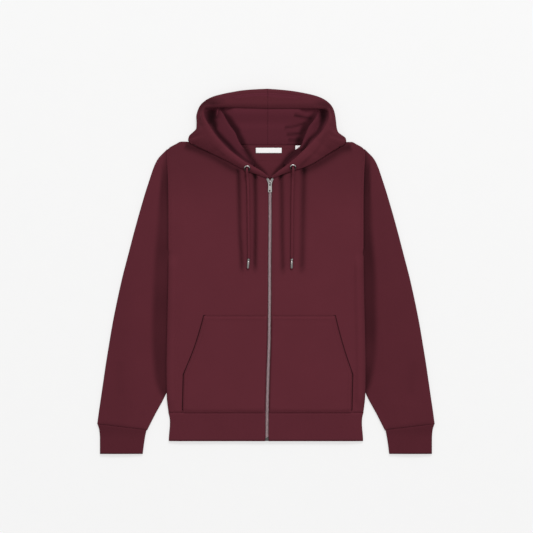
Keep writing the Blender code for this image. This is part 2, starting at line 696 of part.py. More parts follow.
def make_slider(metal):
    """The body of the slider, a plate on a narrow core, with the arch that holds the tab."""
    x = zip_x(SLIDER_Y)[0]
    profile = [
        (-SLIDER_CORE_HALF, SLIDER_FLOOR),
        (SLIDER_CORE_HALF, SLIDER_FLOOR),
        (SLIDER_CORE_HALF, SLIDER_STEP),
        (SLIDER_HALF, SLIDER_STEP),
        (SLIDER_HALF, SLIDER_TOP - 0.5),
        (SLIDER_HALF - 0.9, SLIDER_TOP),
        (0.9 - SLIDER_HALF, SLIDER_TOP),
        (-SLIDER_HALF, SLIDER_TOP - 0.5),
        (-SLIDER_HALF, SLIDER_STEP),
        (-SLIDER_CORE_HALF, SLIDER_STEP),
    ]
    body = prism("zip_slider", profile, SLIDER_LENGTH, metal)
    body.rotation_euler.x = math.pi / 2
    body.location = (x * MM, SLIDER_Y * MM, 0)
    inner = BRIDGE_HALF - BRIDGE_LEG
    arch_outline = [
        (-BRIDGE_HALF, -0.6),
        (-inner, -0.6),
        (-inner, BRIDGE_OPENING),
        (inner, BRIDGE_OPENING),
        (inner, -0.6),
        (BRIDGE_HALF, -0.6),
        (BRIDGE_HALF, BRIDGE_RISE - 0.8),
        (BRIDGE_HALF - 0.8, BRIDGE_RISE),
        (0.8 - BRIDGE_HALF, BRIDGE_RISE),
        (-BRIDGE_HALF, BRIDGE_RISE - 0.8),
    ]
    arch = prism("bridge_arch", arch_outline, BRIDGE_WIDTH, metal)
    arch.rotation_euler = (math.pi / 2, 0, math.pi / 2)
    arch.location = (x * MM, SLIDER_Y * MM, SLIDER_TOP * MM)
    arch.hide_render = True
    arch.display_type = "WIRE"
    bpy.data.collections[COLLECTION].objects.unlink(arch)
    bpy.data.collections[CUTTERS].objects.link(arch)
    joined = body.modifiers.new("bridge", "BOOLEAN")
    joined.operation = "UNION"
    joined.object = arch


def circle(x, y, radius, count=12):
    turns = [2 * math.pi * i / count for i in range(count)]
    return [(x + radius * math.cos(turn), y + radius * math.sin(turn)) for turn in turns]


def make_pull_tab(metal):
    """The pull tab hangs on its bar, which lies along X through the slider's arch."""
    pivot = bpy.data.objects.new("pull_tab_axis", None)
    bpy.data.collections[COLLECTION].objects.link(pivot)
    pivot.location = (zip_x(SLIDER_Y)[0] * MM, SLIDER_Y * MM, (SLIDER_TOP + PIVOT_RISE) * MM)
    corner = 1.2
    outline = [
        (TAB_HALF - 0.9, TAB_BAR),
        (0.9 - TAB_HALF, TAB_BAR),
        (-TAB_HALF, TAB_BAR - 0.9),
        (-TAB_HALF, corner - TAB_LENGTH),
        (corner - TAB_HALF, -TAB_LENGTH),
        (TAB_HALF - corner, -TAB_LENGTH),
        (TAB_HALF, corner - TAB_LENGTH),
        (TAB_HALF, TAB_BAR - 0.9),
    ]
    holes = [oblong(TAB_WINDOW_HALF, -TAB_WINDOW_END, -TAB_BAR)]
    holes += [circle(0, -place, TAB_HOLE_RADIUS) for place in TAB_HOLES]
    half = TAB_THICK / 2
    tab = flat_piece("pull_tab", outline, -half, half, metal, holes)
    tab.rotation_euler.x = math.radians(TAB_DROOP)
    tab.parent = pivot


def make_label(name, place, surface):
    x, y, width, height = place
    z = WALL + SEAM_GAP + LABEL_THICK / 2
    block(name, (width, height, LABEL_THICK), (x, y, z), surface)


def hood_surface(side, row, across):
    """The point and the upward normal of the middle of the hood's cloth on its upper side."""
    values = hood_rows(side)

    def point(at_row, at_share):
        top = np.array(hood_section(values(at_row), at_row)[:8])
        shares = np.linspace(0, 1, 8)
        return np.array([np.interp(at_share, shares, axis) for axis in top.T])

    along = point(row + 0.1, across) - point(row - 0.1, across)
    over = point(row, across + 0.05) - point(row, across - 0.05)
    normal = np.cross(along, over)
    normal *= np.sign(normal[2]) / np.linalg.norm(normal)
    return point(row, across), normal


def make_eyelet(name, side, metal):
    """A turned ring that lies on the hood's cloth."""
    point, normal = hood_surface(side, *EYELET_PLACES[side])
    mesh = bpy.data.meshes.new(name)
    corners = [(radius * MM, 0, height * MM) for radius, height in EYELET_PROFILE]
    count = len(corners)
    mesh.from_pydata(corners, [(i, (i + 1) % count) for i in range(count)], [])
    ring_object = finish(name, mesh, metal)
    turned = ring_object.modifiers.new("turned", "SCREW")
    turned.steps = 20
    turned.render_steps = 20
    turned.use_merge_vertices = True
    turned.merge_threshold = 0.00001
    lift_off = WALL / 2 + SEAM_GAP
    ring_object.location = [value * MM for value in point + normal * lift_off]
    ring_object.rotation_mode = "QUATERNION"
    ring_object.rotation_quaternion = Vector((0, 0, 1)).rotation_difference(Vector(normal))


def make_cord(name, side, surface):
    """The free end of the drawcord, from its eyelet down the front to its metal tip."""
    point, normal = hood_surface(side, *EYELET_PLACES[side])
    start = [point + normal * (WALL / 2 + SEAM_GAP), point + normal * (WALL / 2 + 3.6)]
    fine = trace(np.vstack([start, CORD_ROUTES[side]]), 401)
    shares = (np.linspace(0, 0.2, 11), np.linspace(0.25, 0.9, 11), np.linspace(0.92, 1, 5))
    places = [fine[int(round(400 * share))] for share in np.concatenate(shares)]
    data = bpy.data.curves.new(name, "CURVE")
    data.dimensions = "3D"
    data.bevel_depth = CORD_DIAMETER / 2 * MM
    data.bevel_resolution = 2
    data.use_fill_caps = True
    line = data.splines.new("POLY")
    line.points.add(len(places) - 1)
    for at, place in zip(line.points, places):
        at.co = (*(place * MM), 1)
    data.materials.append(surface)
    made = bpy.data.objects.new(name, data)
    bpy.data.collections[COLLECTION].objects.link(made)


def make_cord_tip(name, side, metal):
    end = np.array(CORD_ROUTES[side][-1])
    tip = np.array(TIP_ENDS[side])
    direction = (tip - end) / np.linalg.norm(tip - end)
    start = end + direction * 2 * SEAM_GAP
    shape = bmesh.new()
    length = np.linalg.norm(tip - start)
    bmesh.ops.create_cone(
        shape,
        cap_ends=True,
        segments=16,
        radius1=TIP_RADIUS * MM,
        radius2=TIP_RADIUS * MM,
        depth=length * MM,
    )
    mesh = bpy.data.meshes.new(name)
    shape.to_mesh(mesh)
    shape.free()
    made = finish(name, mesh, metal)
    made.location = [value * MM for value in (start + tip) / 2]
    made.rotation_mode = "QUATERNION"
    made.rotation_quaternion = Vector((0, 0, 1)).rotation_difference(Vector(direction))


def main():
    for old in list(bpy.data.objects):
        bpy.data.objects.remove(old)
    for name in (COLLECTION, CUTTERS):
        bpy.context.scene.collection.children.link(bpy.data.collections.new(name))
    fleece = material("burgundy_fleece", (0.105, 0.022, 0.032), 0.9)
    rib = material("burgundy_rib", (0.095, 0.02, 0.03), 0.9)
    lining = material("burgundy_lining", (0.09, 0.019, 0.028), 0.9)
    cord = material("burgundy_cord", (0.08, 0.018, 0.025), 0.85)
    label = material("white_label", (0.85, 0.85, 0.85), 0.8)
    metal = material("brushed_nickel", (0.5, 0.48, 0.47), 0.35, 1.0)
    make_back(fleece)
    make_hem_band(rib)
    make_zip(cord, metal)
    make_label("neck_label", NECK_LABEL, label)
    make_label("size_label", SIZE_LABEL, label)
    for side, word in ((-1, "right"), (1, "left")):
        make_front("front_" + word, side, fleece)
        make_sleeve("sleeve_" + word, side, fleece)
        make_cuff("cuff_" + word, side, rib)
        make_pocket("pocket_" + word, side, fleece)
        make_hood("hood_" + word, side, fleece)
        make_lining("hood_lining_" + word, side, lining)
        make_eyelet("eyelet_" + word, side, metal)
        make_cord("cord_" + word, side, cord)
        make_cord_tip("cord_tip_" + word, side, metal)


main()
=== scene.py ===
"""The looks of a zip up hoodie in burgundy fleece, laid flat on its back with its front up.

Lengths are millimetres until a mesh is made. The wearer's left is +X, the hood points to +Y.
Each cloth piece follows the form of its solid: the same sections, made finer, with its creases.
"""

import math

import bmesh
import bpy
import numpy as np
from mathutils import Matrix, Vector


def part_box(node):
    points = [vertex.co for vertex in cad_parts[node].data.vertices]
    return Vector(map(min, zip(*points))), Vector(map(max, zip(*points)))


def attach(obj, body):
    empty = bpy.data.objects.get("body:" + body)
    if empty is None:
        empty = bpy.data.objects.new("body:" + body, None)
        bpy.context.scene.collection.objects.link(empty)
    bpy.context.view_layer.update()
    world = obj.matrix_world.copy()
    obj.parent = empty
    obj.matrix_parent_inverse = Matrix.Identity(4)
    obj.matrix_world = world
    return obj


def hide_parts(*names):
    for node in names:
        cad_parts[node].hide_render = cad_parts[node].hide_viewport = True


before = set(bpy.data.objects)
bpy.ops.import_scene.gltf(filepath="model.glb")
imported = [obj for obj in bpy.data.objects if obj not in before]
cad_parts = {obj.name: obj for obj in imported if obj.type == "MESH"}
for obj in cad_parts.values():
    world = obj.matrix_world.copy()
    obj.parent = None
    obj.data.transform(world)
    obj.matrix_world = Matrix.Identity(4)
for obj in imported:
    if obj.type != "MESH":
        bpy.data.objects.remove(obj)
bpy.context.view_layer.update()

MM = 0.001
GARMENT = "garment"
SEAM_GAP = 0.3
SEAM_LAP = 0.3
WALL = 2.2
LINING_WALL = 2.0
RIB_WALL = 2.6
RIB_PITCH = 3.0
RIB_HEIGHT = 0.16
BODY_LOFT = 8.0
EDGE_LOFT = 6.4
EDGE_WIDTH = 36.0
TUCKED_LOFT = 4.8
TUCK_LIFT = TUCKED_LOFT + SEAM_GAP
LIFT_WIDTH = 14.0
LIFT_RUNOUT = 13.0
UNDERARM_Y = 45.0
HEM_SEAM_Y = -339.2
HEM_Y = -407.6
FOLD_TURNS = (24, 47, 69)
EDGE_TURNS = (60, 30, 0, -30, -60)

# The zip's centre line: y, x
ZIP_LINE = (
    (-407.6, 2.3), (-338, 2.8), (-285, 4.0), (-242, 5.2), (-203, 6.6), (-165, 7.6), (-98, 8.5),
    (27, 9.0), (99, 9.7), (230, 9.7),
)
ZIP_TOP_Y = 222.5
ZIP_TOP_X = 9.7
ZIP_HALF = 4.2

# Half-width of the body at its side: y, x
BODY_SIDE = (
    (-407.6, 233.5), (-339.2, 234.5), (-330, 238.2), (-300, 238.4), (-273, 239.2), (-213, 239.4),
    (-141, 238.0), (-69, 236.4), (0, 235.2), (45, 235.0), (110, 235.0), (171, 235.2), (233, 236.6),
    (267, 238.6), (292, 239.5),
)
SHOULDER = ((239.5, 293.2), (229.0, 299.4), (217.0, 305.6), (205.0, 311.6), (197.0, 313.8))
NECK_OVERLAP = 6.0
NECK_MARGIN = 0.6
BACK_NECK_Y = 304.0
BACK_NECK_RISE = 4.5
SIDE_ROWS = 17
ACROSS_FRONT = np.array((0, 0.13, 0.27, 0.41, 0.55, 0.68, 0.79, 0.86, 0.905, 0.94, 0.97, 1.0))

# Sections of a sleeve: the outer edge, the centre of the inner fold, the loft of that fold, the
# width that stays pressed beside it and the loft of the middle.
SLEEVE_SECTIONS = (
    (239.5, 292.8, 234.4, 49.6, 6.4, 0, 6.4),
    (260.5, 268.0, 234.0, 49.2, 6.4, 0, 7.2),
    (281.0, 215.0, 233.8, 45.6, 6.2, 0, 8.0),
    (299.0, 157.0, 233.8, 37.0, 5.6, 0, 8.4),
    (316.0, 97.0, 234.2, 21.0, 4.6, 2, 8.4),
    (331.5, 38.0, 234.6, -2.0, 4.6, 6, 8.4),
    (345.0, -14.0, 233.0, -36.0, 4.8, 12, 8.4),
    (357.5, -70.0, 229.0, -82.0, 4.8, 17, 8.4),
    (368.5, -125.0, 229.6, -135.0, 4.8, 17, 8.4),
    (377.0, -175.0, 230.2, -190.0, 4.8, 17, 8.4),
    (384.0, -218.0, 230.8, -240.0, 4.8, 16, 8.4),
    (390.5, -262.0, 236.4, -278.0, 4.8, 10, 8.2),
    (396.0, -300.0, 246.6, -303.0, 4.8, 3, 8.0),
    (401.0, -334.0, 267.6, -341.0, 5.4, 0, 8.0),
    (405.5, -367.3, 288.6, -381.4, 6.4, 0, 8.0),
)
# Sections of a cuff: its outer edge and its inner edge, each x and y
CUFF_SECTIONS = (
    (404.6, -366.6, 286.9, -380.8),
    (400.4, -382.0, 290.0, -396.0),
    (399.0, -401.0, 292.4, -411.0),
    (398.9, -438.4, 296.0, -438.4),
)
CUFF_LOFT = 8.0

POCKET_TOP = 156.6
POCKET_SIDE = 202.0
POCKET_TOP_Y = -106.5
POCKET_CORNER_Y = -247.0
POCKET_ZIP = 6.0
MOUTH_BOW = 3.2
POCKET_STITCHES = (2.2, 8.4)

# The halves of the hood, in rows from the zip round to the crown: the rim, the outer edge, the seam
# at the neck, the lining's fold and the bottom of the hollow between the rim and that fold.
HOOD_COLUMNS = (
    "rim_x rim_y rim_z edge_x edge_y neck_x fold_x fold_y fold_z hollow_x hollow_y hollow_z"
).split()
HOOD_RIGHT = (
    (6.2, 225.0, 10.5, 2.0, 223.6, 2.0, 3.6, 226.8, 8.0, 3.4, 225.6, 8.0),
    (-14.8, 240.3, 12.4, -20.3, 232.5, -20.3, -14.5, 241.8, 9.4, -15.6, 240.7, 9.4),
    (-46.5, 258.2, 15.0, -48.0, 242.0, -48.0, -40.0, 275.9, 11.0, -47.0, 266.0, 9.6),
    (-86.1, 287.0, 18.5, -96.0, 267.2, -96.0, -64.5, 309.2, 12.0, -79.4, 293.0, 9.0),
    (-110.1, 310.7, 21.5, -143.9, 290.5, -143.9, -73.0, 329.6, 12.8, -103.5, 314.5, 8.8),
    (-127.1, 331.7, 23.0, -187.0, 315.6, -183.0, -86.5, 348.8, 13.2, -120.5, 338.0, 8.8),
    (-138.5, 349.6, 24.0, -167.2, 343.0, -173.5, -94.4, 361.6, 13.2, -125.9, 357.2, 8.8),
    (-149.3, 370.6, 24.0, -167.4, 371.0, -166.0, -102.0, 376.5, 13.2, -129.5, 375.2, 8.8),
    (-148.1, 386.5, 24.0, -158.8, 396.8, -150.0, -107.9, 386.2, 13.5, -128.3, 386.2, 9.0),
    (-138.0, 393.2, 24.0, -139.0, 413.8, -125.0, -112.0, 404.0, 14.0, -124.7, 395.5, 14.0),
    (-100.7, 394.4, 23.5, -110.3, 424.2, -87.0, -103.0, 414.0, 13.5, -101.0, 400.0, 18.6),
    (-47.9, 393.2, 23.0, -52.7, 434.8, -40.0, -50.0, 425.0, 13.5, -48.0, 400.0, 18.6),
    (3.7, 391.6, 23.0, 3.7, 438.2, 3.7, 3.7, 428.0, 13.5, 3.7, 399.0, 18.6),
)
HOOD_LEFT = (
    (13.0, 225.0, 10.5, 17.4, 223.6, 17.4, 15.8, 226.8, 8.0, 16.0, 225.6, 8.0),
    (33.3, 240.1, 12.4, 39.5, 233.0, 40.5, 33.0, 241.6, 9.4, 34.1, 240.5, 9.4),
    (62.7, 262.3, 15.0, 68.0, 242.0, 68.0, 53.5, 274.0, 11.0, 64.0, 266.0, 9.6),
    (91.4, 288.2, 18.5, 108.0, 256.4, 108.0, 82.5, 299.5, 12.0, 94.0, 293.5, 9.0),
    (111.4, 307.6, 21.5, 150.0, 282.5, 150.0, 89.0, 312.2, 12.8, 104.0, 312.5, 8.8),
    (131.6, 329.3, 23.0, 193.0, 312.6, 185.0, 96.0, 330.0, 13.2, 117.5, 332.0, 8.8),
    (141.6, 343.0, 24.0, 173.0, 334.0, 176.0, 103.5, 347.0, 13.2, 126.0, 350.0, 8.8),
    (150.0, 361.0, 24.0, 168.3, 359.0, 169.0, 116.5, 364.0, 13.2, 134.0, 363.0, 8.8),
    (151.1, 378.1, 24.0, 164.0, 384.0, 156.0, 123.0, 380.5, 13.5, 134.0, 377.0, 9.0),
    (144.0, 388.8, 24.0, 151.5, 404.0, 136.0, 122.0, 398.0, 14.0, 135.0, 388.5, 14.0),
    (118.0, 391.4, 23.5, 122.0, 420.6, 100.0, 119.0, 410.0, 13.5, 117.0, 398.5, 18.6),
    (62.0, 391.8, 23.0, 62.0, 433.0, 52.0, 61.0, 423.0, 13.5, 61.5, 399.0, 18.6),
    (3.7, 391.6, 23.0, 3.7, 438.2, 3.7, 3.7, 428.0, 13.5, 3.7, 399.0, 18.6),
)
NECK_POINT_ROW = 5
HOOD_FOLD = 8.5
TOP_POINTS = 8
HOOD_SPACING = 3.4
HOOD_PLACES = (0, 0.5, 1, 1.5, 2, 2.5, 3, 3.5, 4, 4.5, 4.9, 5, 5.3, 5.6, 6, 6.5, 7, 7.5, 8, 8.5)
HOOD_PLACES += (9, 9.5, 10, 10.5, 11, 11.5, 12)
LINING_START = 1.5
LINING_FLOOR_Z = WALL + SEAM_GAP + LINING_WALL / 2
LINING_LOW_Z = LINING_FLOOR_Z + LINING_WALL + 2 * SEAM_GAP

# Each eyelet, by the hood's row and the share of the way from the rim to the edge
EYELET_PLACES = {-1: (1.93, 0.6), 1: (1.96, 0.6)}
CORD_DIAMETER = 6.4
# Points down the middle of each cord, from above its eyelet to its tip
CORD_ROUTES = {
    -1: (
        (-45.4, 244.6, 20.0), (-45.6, 240.6, 20.6), (-45.5, 234.6, 18.4), (-44.9, 227.5, 14.6),
        (-44.1, 217.0, 12.2), (-43.4, 203.0, 11.8), (-42.4, 170.0, 11.7), (-42.0, 130.0, 11.7),
        (-41.6, 80.0, 11.7), (-41.2, 44.0, 11.7), (-41.3, 36.0, 11.7), (-41.6, 30.5, 11.7),
    ),
    1: (
        (65.2, 247.0, 20.4), (65.2, 243.0, 21.0), (65.0, 237.0, 19.0), (64.6, 229.0, 14.8),
        (64.1, 218.0, 12.2), (63.7, 204.0, 11.8), (63.0, 170.0, 11.7), (62.6, 130.0, 11.7),
        (62.4, 80.0, 11.7), (62.1, 44.0, 11.7), (62.0, 36.0, 11.7), (62.0, 30.5, 11.7),
    ),
}
TIP_ENDS = {-1: (-43.3, 6.4, 11.4), 1: (61.6, 6.4, 11.4)}
SLIDER_Y = 214.6
SLIDER_TOP = 10.0
PIVOT_RISE = 1.3
# The two round holes in the pull tab, from its pivot: x, y, radius
TAB_HOLES = ((0, -7.6, 2.0), (-0.6, -21.6, 1.9))

# Soft troughs in the fronts and the pocket: points x and y down its middle, half width, depth
FRONT_TROUGHS = (
    (((-66, 240), (-65, 210), (-64, 170), (-62, 90), (-59, 40), (-57, 6)), 6.0, 2.6),
    (((-27, 236), (-26.5, 180), (-26.5, 90), (-27, 40), (-27, 4)), 5.4, 2.6),
    (((36, 236), (37, 180), (37, 90), (37, 40), (38, 6)), 5.6, 2.4),
    (((91, 250), (89, 200), (87, 150), (86, 90), (86, 40), (85, 4)), 7.0, 2.3),
    (((-236, 290), (-214, 262), (-196, 226), (-186, 180)), 9.0, 0.7),
    (((230, 286), (206, 258), (188, 218)), 9.0, 0.7),
    (((-150, -118), (-60, -122), (-8, -116)), 9.0, 0.4),
    (((170, -118), (90, -124), (20, -117)), 9.0, 0.4),
    (((-180, -330), (-130, -326), (-60, -331)), 7.0, 0.5),
    (((60, -329), (120, -325), (190, -331)), 7.0, 0.5),
)

# Where the fronts lie in shade: points, half width, darkness from 0 to 1
FRONT_SHADES = (
    (((-66, 250), (-65, 210), (-64, 170), (-62, 90), (-59, 40), (-57, -12)), 5.6, 0.53),
    (((-27, 240), (-25.5, 180), (-25.5, 90), (-26, 40), (-26, -10)), 5.6, 0.61),
    (((36, 240), (38, 180), (39, 90), (40, 40), (41, -14)), 6.0, 0.50),
    (((91, 255), (90, 200), (89, 150), (88, 90), (87, 40), (86, -14)), 7.6, 0.44),
    (
        ((-196, 304), (-160, 290), (-140, 281), (-120, 271), (-98, 258), (-78, 246), (-60, 236)),
        9.5,
        0.42,
    ),
    (((206, 300), (178, 291), (160, 279), (141, 267), (125, 258), (108, 250), (76, 236)), 10.5, 0.42),
    (((-40, 242), (-32, 237), (-26, 229), (-21, 221)), 3.8, 0.60),
    (((50, 238), (42, 234), (36, 228), (31, 220)), 3.8, 0.60),
)

# Soft troughs in a sleeve, on the wearer's left; the right sleeve has them mirrored and moved.
SLEEVE_TROUGHS = (
    (((356, -200), (354, -262), (350, -330)), 12.0, 0.5),
    (((330, -300), (329, -340), (327, -368)), 6.0, 0.7),
    (((383, -310), (384, -345), (384, -364)), 5.0, 0.7),
    (((300, -330), (306, -352), (309, -374)), 6.0, 0.7),
    (((262, 250), (286, 222), (300, 190)), 10.0, 0.6),
    (((268, -30), (300, -44), (336, -52)), 9.0, 0.4),
)
# Painted shade down the lower sleeve and above the cuff: points, half width, darkness
SLEEVE_SHADES = (
    (((352, -215), (350, -262), (346, -300)), 11.0, 0.04),
    (((292, -380), (320, -376), (350, -372), (402, -366)), 6.0, 0.16),
)

# The edge of the shade painted in the hollow between a sleeve and the body, and its darkness: y, x,
# darkness
SLEEVE_HOLLOW_SHADE = {
    -1: (
        (-310, 240, 0.20), (-297, 250, 0.42), (-273, 261, 0.40), (-213, 270, 0.42),
        (-141, 273, 0.36), (-69, 271, 0.40), (-9, 269, 0.30), (51, 265, 0.36), (111, 259, 0.32),
        (171, 256, 0.40), (219, 252, 0.44), (255, 248, 0.26), (272, 245, 0.12), (292, 240, 0.0),
    ),
    1: (
        (-300, 240, 0.40), (-285, 245, 0.50), (-273, 249, 0.52), (-245, 256, 0.46),
        (-213, 262, 0.34), (-141, 265, 0.44), (-69, 264, 0.41), (-9, 263, 0.42), (51, 258, 0.48),
        (111, 253, 0.46), (171, 252, 0.46), (219, 251, 0.52), (255, 250, 0.44), (275, 248, 0.24),
        (292, 244, 0.0),
    ),
}

# Wrinkles in the lining at the back of the hood: points, half width, depth
LINING_TROUGHS = (
    (((70, 376), (92, 370), (114, 366)), 3.6, 1.5),
    (((46, 346), (70, 349), (98, 356)), 3.4, 1.5),
    (((52, 330), (74, 331), (90, 334)), 3.4, 1.4),
    (((56, 315), (72, 315), (86, 316)), 3.4, 1.3),
    (((-70, 352), (-50, 356), (-28, 357)), 4.0, 0.7),
    (((-56, 334), (-40, 338), (-22, 338)), 4.0, 0.6),
    (((3.7, 385), (3.7, 345), (3.7, 306)), 1.8, 0.2),
)
# Painted shade in those wrinkles, near the neck and along the crown: points, half width, darkness
LINING_SHADES = (
    (((66, 376), (92, 369), (112, 366)), 3.5, 0.60),
    (((44, 345), (70, 349), (98, 358)), 3.6, 0.46),
    (((50, 329), (72, 330), (88, 333)), 3.4, 0.58),
    (((52, 316), (70, 315), (84, 316)), 3.4, 0.46),
    (((50, 303), (60, 304), (76, 305)), 3.0, 0.26),
    (((-118, 392), (-60, 393), (0, 393), (60, 393), (130, 391)), 3.6, 0.22),
)

# Lines of painted shade of uneven breadth: x, y, half width and darkness at each point.
# The first lie in the hollow under the rim, the next beside the lining's folds and on down the
# back of the neck.
HOLLOW_SHADE_LINES = (
    (
        (-136, 402, 14, 0.0), (-133, 392, 15, 0.12), (-131.9, 382, 16, 0.78),
        (-130.7, 375, 16, 0.86), (-131, 363, 14, 0.86), (-124.7, 351, 9.6, 0.80),
        (-121.1, 339, 6.5, 0.74), (-112.7, 327, 6.8, 0.72), (-101.9, 315, 7.0, 0.70),
        (-89.9, 303, 7.0, 0.70), (-79.1, 291, 6.4, 0.70), (-65.2, 279, 5.0, 0.58),
        (-49.6, 267, 4.2, 0.45), (-34, 257.6, 3.6, 0.40),
    ),
    (
        (142, 398, 12, 0.20), (138.1, 388, 12, 0.60), (138.1, 376, 11, 0.84),
        (136.5, 363, 8.5, 0.80), (133, 351, 6.5, 0.68), (128, 339, 6.0, 0.60),
        (118, 327, 5.6, 0.60), (104.5, 315, 5.4, 0.62), (95.5, 303, 5.4, 0.64),
        (85.8, 291, 5.0, 0.60),
    ),
)
NECK_SHADE_LINES = (
    (
        (-106, 388, 7, 0.50), (-98.3, 375, 8, 0.68), (-87, 363, 8.5, 0.66), (-80, 351, 9, 0.70),
        (-71, 339, 9, 0.70), (-66, 327, 8.5, 0.66), (-59, 315, 8, 0.66), (-54.5, 303, 8, 0.64),
        (-47, 291, 7.5, 0.62), (-40, 279, 7, 0.62), (-32.5, 267, 6.5, 0.58), (-23.5, 255, 6, 0.64),
        (-9, 243, 5, 0.56), (-0.5, 232, 4.5, 0.50),
    ),
    (
        (118, 378, 6, 0.50), (111, 370, 8, 0.60), (106, 361, 9, 0.62), (97, 351, 9.5, 0.64),
        (90, 339, 9, 0.70), (87, 327, 8, 0.60), (81, 315, 10.5, 0.72), (77, 303, 9, 0.62),
        (75, 291, 9, 0.56), (61, 279, 9, 0.62), (50, 267, 8, 0.62), (40.5, 255, 7, 0.62),
        (27, 243, 5.5, 0.56), (18.5, 232, 4.5, 0.50),
    ),
)

# Creases in the outer hood, on the wearer's right and left: points, half width, depth
HOOD_TROUGHS = (
    (((-118, 322), (-134, 306), (-152, 296)), 6.0, 1.0),
    (((-95, 300), (-116, 288), (-132, 282)), 6.0, 0.8),
    (((-147, 345), (-160, 352), (-167, 362)), 5.0, 1.2),
    (((-160, 326), (-172, 322), (-184, 316)), 6.0, 1.0),
    (((118, 318), (138, 300), (160, 290)), 6.0, 1.1),
    (((96, 292), (118, 280), (136, 275)), 6.0, 0.9),
    (((146, 350), (158, 344), (168, 336)), 5.0, 1.2),
    (((150, 330), (168, 322), (184, 315)), 6.0, 1.2),
    (((-96, 408), (-30, 414), (40, 415), (100, 408)), 9.0, 0.8),
)
# Painted shade below the crown's rim and on the side of the hood: points, half width, darkness
HOOD_SHADES = (
    (((-136, 400), (-100, 397), (-48, 396), (0, 395), (62, 396), (120, 396), (146, 392)), 5.5, 0.20),
    (((-160, 342), (-178, 326), (-190, 312)), 9.0, 0.14),
)
# A painted highlight along the rim: half width, and a darkness below 0
RIM_HIGHLIGHT = (7.0, -0.15)
# Painted highlights and painted shade on the outer hood: x, y, half width and darkness at each point
HOOD_LIGHT_AND_SHADE_LINES = (
    ((-52, 250, 9, -0.05), (-85, 270, 14, -0.12), (-112, 288, 12, -0.06)),
    ((76, 252, 10, -0.10), (104, 276, 15, -0.14), (134, 300, 13, -0.10), (150, 318, 9, 0.0)),
    (
        (142, 328, 3.4, 0.08), (130, 303, 3.4, 0.12), (110.5, 279, 3.6, 0.16), (97, 267, 3.8, 0.24),
        (84, 255, 3.8, 0.24),
    ),
    ((-100, 279, 3.6, 0.14), (-116, 292, 3.4, 0.12), (-134, 308, 3.2, 0.05)),
    ((-154, 390, 9, 0.24), (-143, 403, 11, 0.44), (-126, 405, 10, 0.40), (-104, 407, 8, 0.14)),
    ((155, 384, 7, 0.10), (146, 395, 9, 0.42), (134, 400, 8, 0.36), (118, 405, 6, 0.08)),
)


def smooth(value):
    value = np.clip(value, 0, 1)
    return value * value * (3 - 2 * value)


def mix(start, end, share):
    return start + (end - start) * share


def spline(rows, slopes=None):
    """The smooth function through rows of a rising key and its values."""
    rows = np.array(rows, float)
    key, value = rows[:, 0], rows[:, 1:]
    slope = np.gradient(value, key, axis=0) if slopes is None else slopes(key, value)

    def at(where):
        where = np.clip(np.atleast_1d(np.asarray(where, float)), key[0], key[-1])
        shape = where.shape
        where = where.ravel()
        i = np.clip(np.searchsorted(key, where) - 1, 0, len(key) - 2)
        span = (key[i + 1] - key[i])[:, None]
        f = (where - key[i])[:, None] / span
        start = (2 * f**3 - 3 * f**2 + 1) * value[i] + (f**3 - 2 * f**2 + f) * span * slope[i]
        end = (3 * f**2 - 2 * f**3) * value[i + 1] + (f**3 - f**2) * span * slope[i + 1]
        return (start + end).reshape(*shape, -1)

    return at


def unit(vector):
    return vector / np.linalg.norm(vector)


def lengths(points):
    """How far along the line through some points each of them lies."""
    return np.concatenate([[0], np.cumsum(np.linalg.norm(np.diff(points, axis=0), axis=1))])


def point_at(points, key, where):
    """The point of a line at a value of the key of its points."""
    return np.array([np.interp(where, key, axis) for axis in points.T])


def trace(points, count):
    """count points evenly along the smooth curve through some points."""
    points = np.array(points, float)
    key = lengths(points)
    return spline(np.column_stack([key, points]))(np.linspace(0, key[-1], count))


def resampled(points, shares):
    """Points at shares of the length of the line through some points."""
    points = np.array(points, float)
    key = lengths(points)
    return point_at(points, key, shares * key[-1]).T


zip_x_at = spline(ZIP_LINE)
side_x_at = spline(BODY_SIDE)


def zip_x(y):
    return zip_x_at(y)[..., 0]


def side_x(y):
    return side_x_at(y)[..., 0]


def lift(x, y):
    """How far the body is raised where the sleeve's inner edge lies under it."""
    started = smooth((UNDERARM_Y - y) / 38)
    ended = smooth((y + 336) / 32)
    inwards = side_x(y) - np.abs(x)
    return TUCK_LIFT * started * ended * (1 - smooth((inwards - LIFT_WIDTH) / LIFT_RUNOUT))


def body_loft(x, y):
    """The height of the body's two layers, which is less near its side and shoulder."""
    inwards = side_x(y) - np.abs(x)
    from_shoulder = 316 - 0.12 * np.abs(x) - y
    nearest = np.minimum(inwards, from_shoulder)
    return mix(EDGE_LOFT, BODY_LOFT, smooth(nearest / EDGE_WIDTH))


def troughs(x, y, table, uneven_by=0.15, fades=(0.12, 0.22)):
    """The depth of a table's troughs at each point, uneven along each and fading at its ends."""
    depth_there = np.zeros(np.shape(x))
    for number, (points, half_width, depth) in enumerate(table):
        low = np.min(points, axis=0) - 3 * half_width
        high = np.max(points, axis=0) + 3 * half_width
        near = (x > low[0]) & (x < high[0]) & (y > low[1]) & (y < high[1])
        if not near.any():
            continue
        line = trace(points, 60)
        gap = np.hypot(x[near][:, None] - line[:, 0], y[near][:, None] - line[:, 1])
        place = gap.argmin(axis=1) / 59
        ends = smooth(place / fades[0]) * smooth((1 - place) / fades[1])
        uneven = 1 - uneven_by + uneven_by * np.sin(9 * place + 1.7 * number)
        depth_there[near] += depth * ends * uneven * np.exp(-((gap.min(axis=1) / half_width) ** 2))
    return depth_there


def lie(x, y):
    """The cloth's slight unevenness as it lies, from waves of unlike length and direction."""
    waves = (
        np.sin(x / 31 + y / 83 + 0.4)
        + np.sin(y / 37 - x / 97 + 1.9)
        + 0.7 * np.sin((x + y) / 23 + 0.8)
        + 0.5 * np.sin((x - 1.6 * y) / 17 + 2.6)
    )
    return 0.16 * waves


def armhole(y):
    """1 beside the armhole and 0 along the side below it."""
    return smooth((y - UNDERARM_Y) / 12) * smooth((292 - y) / 10)


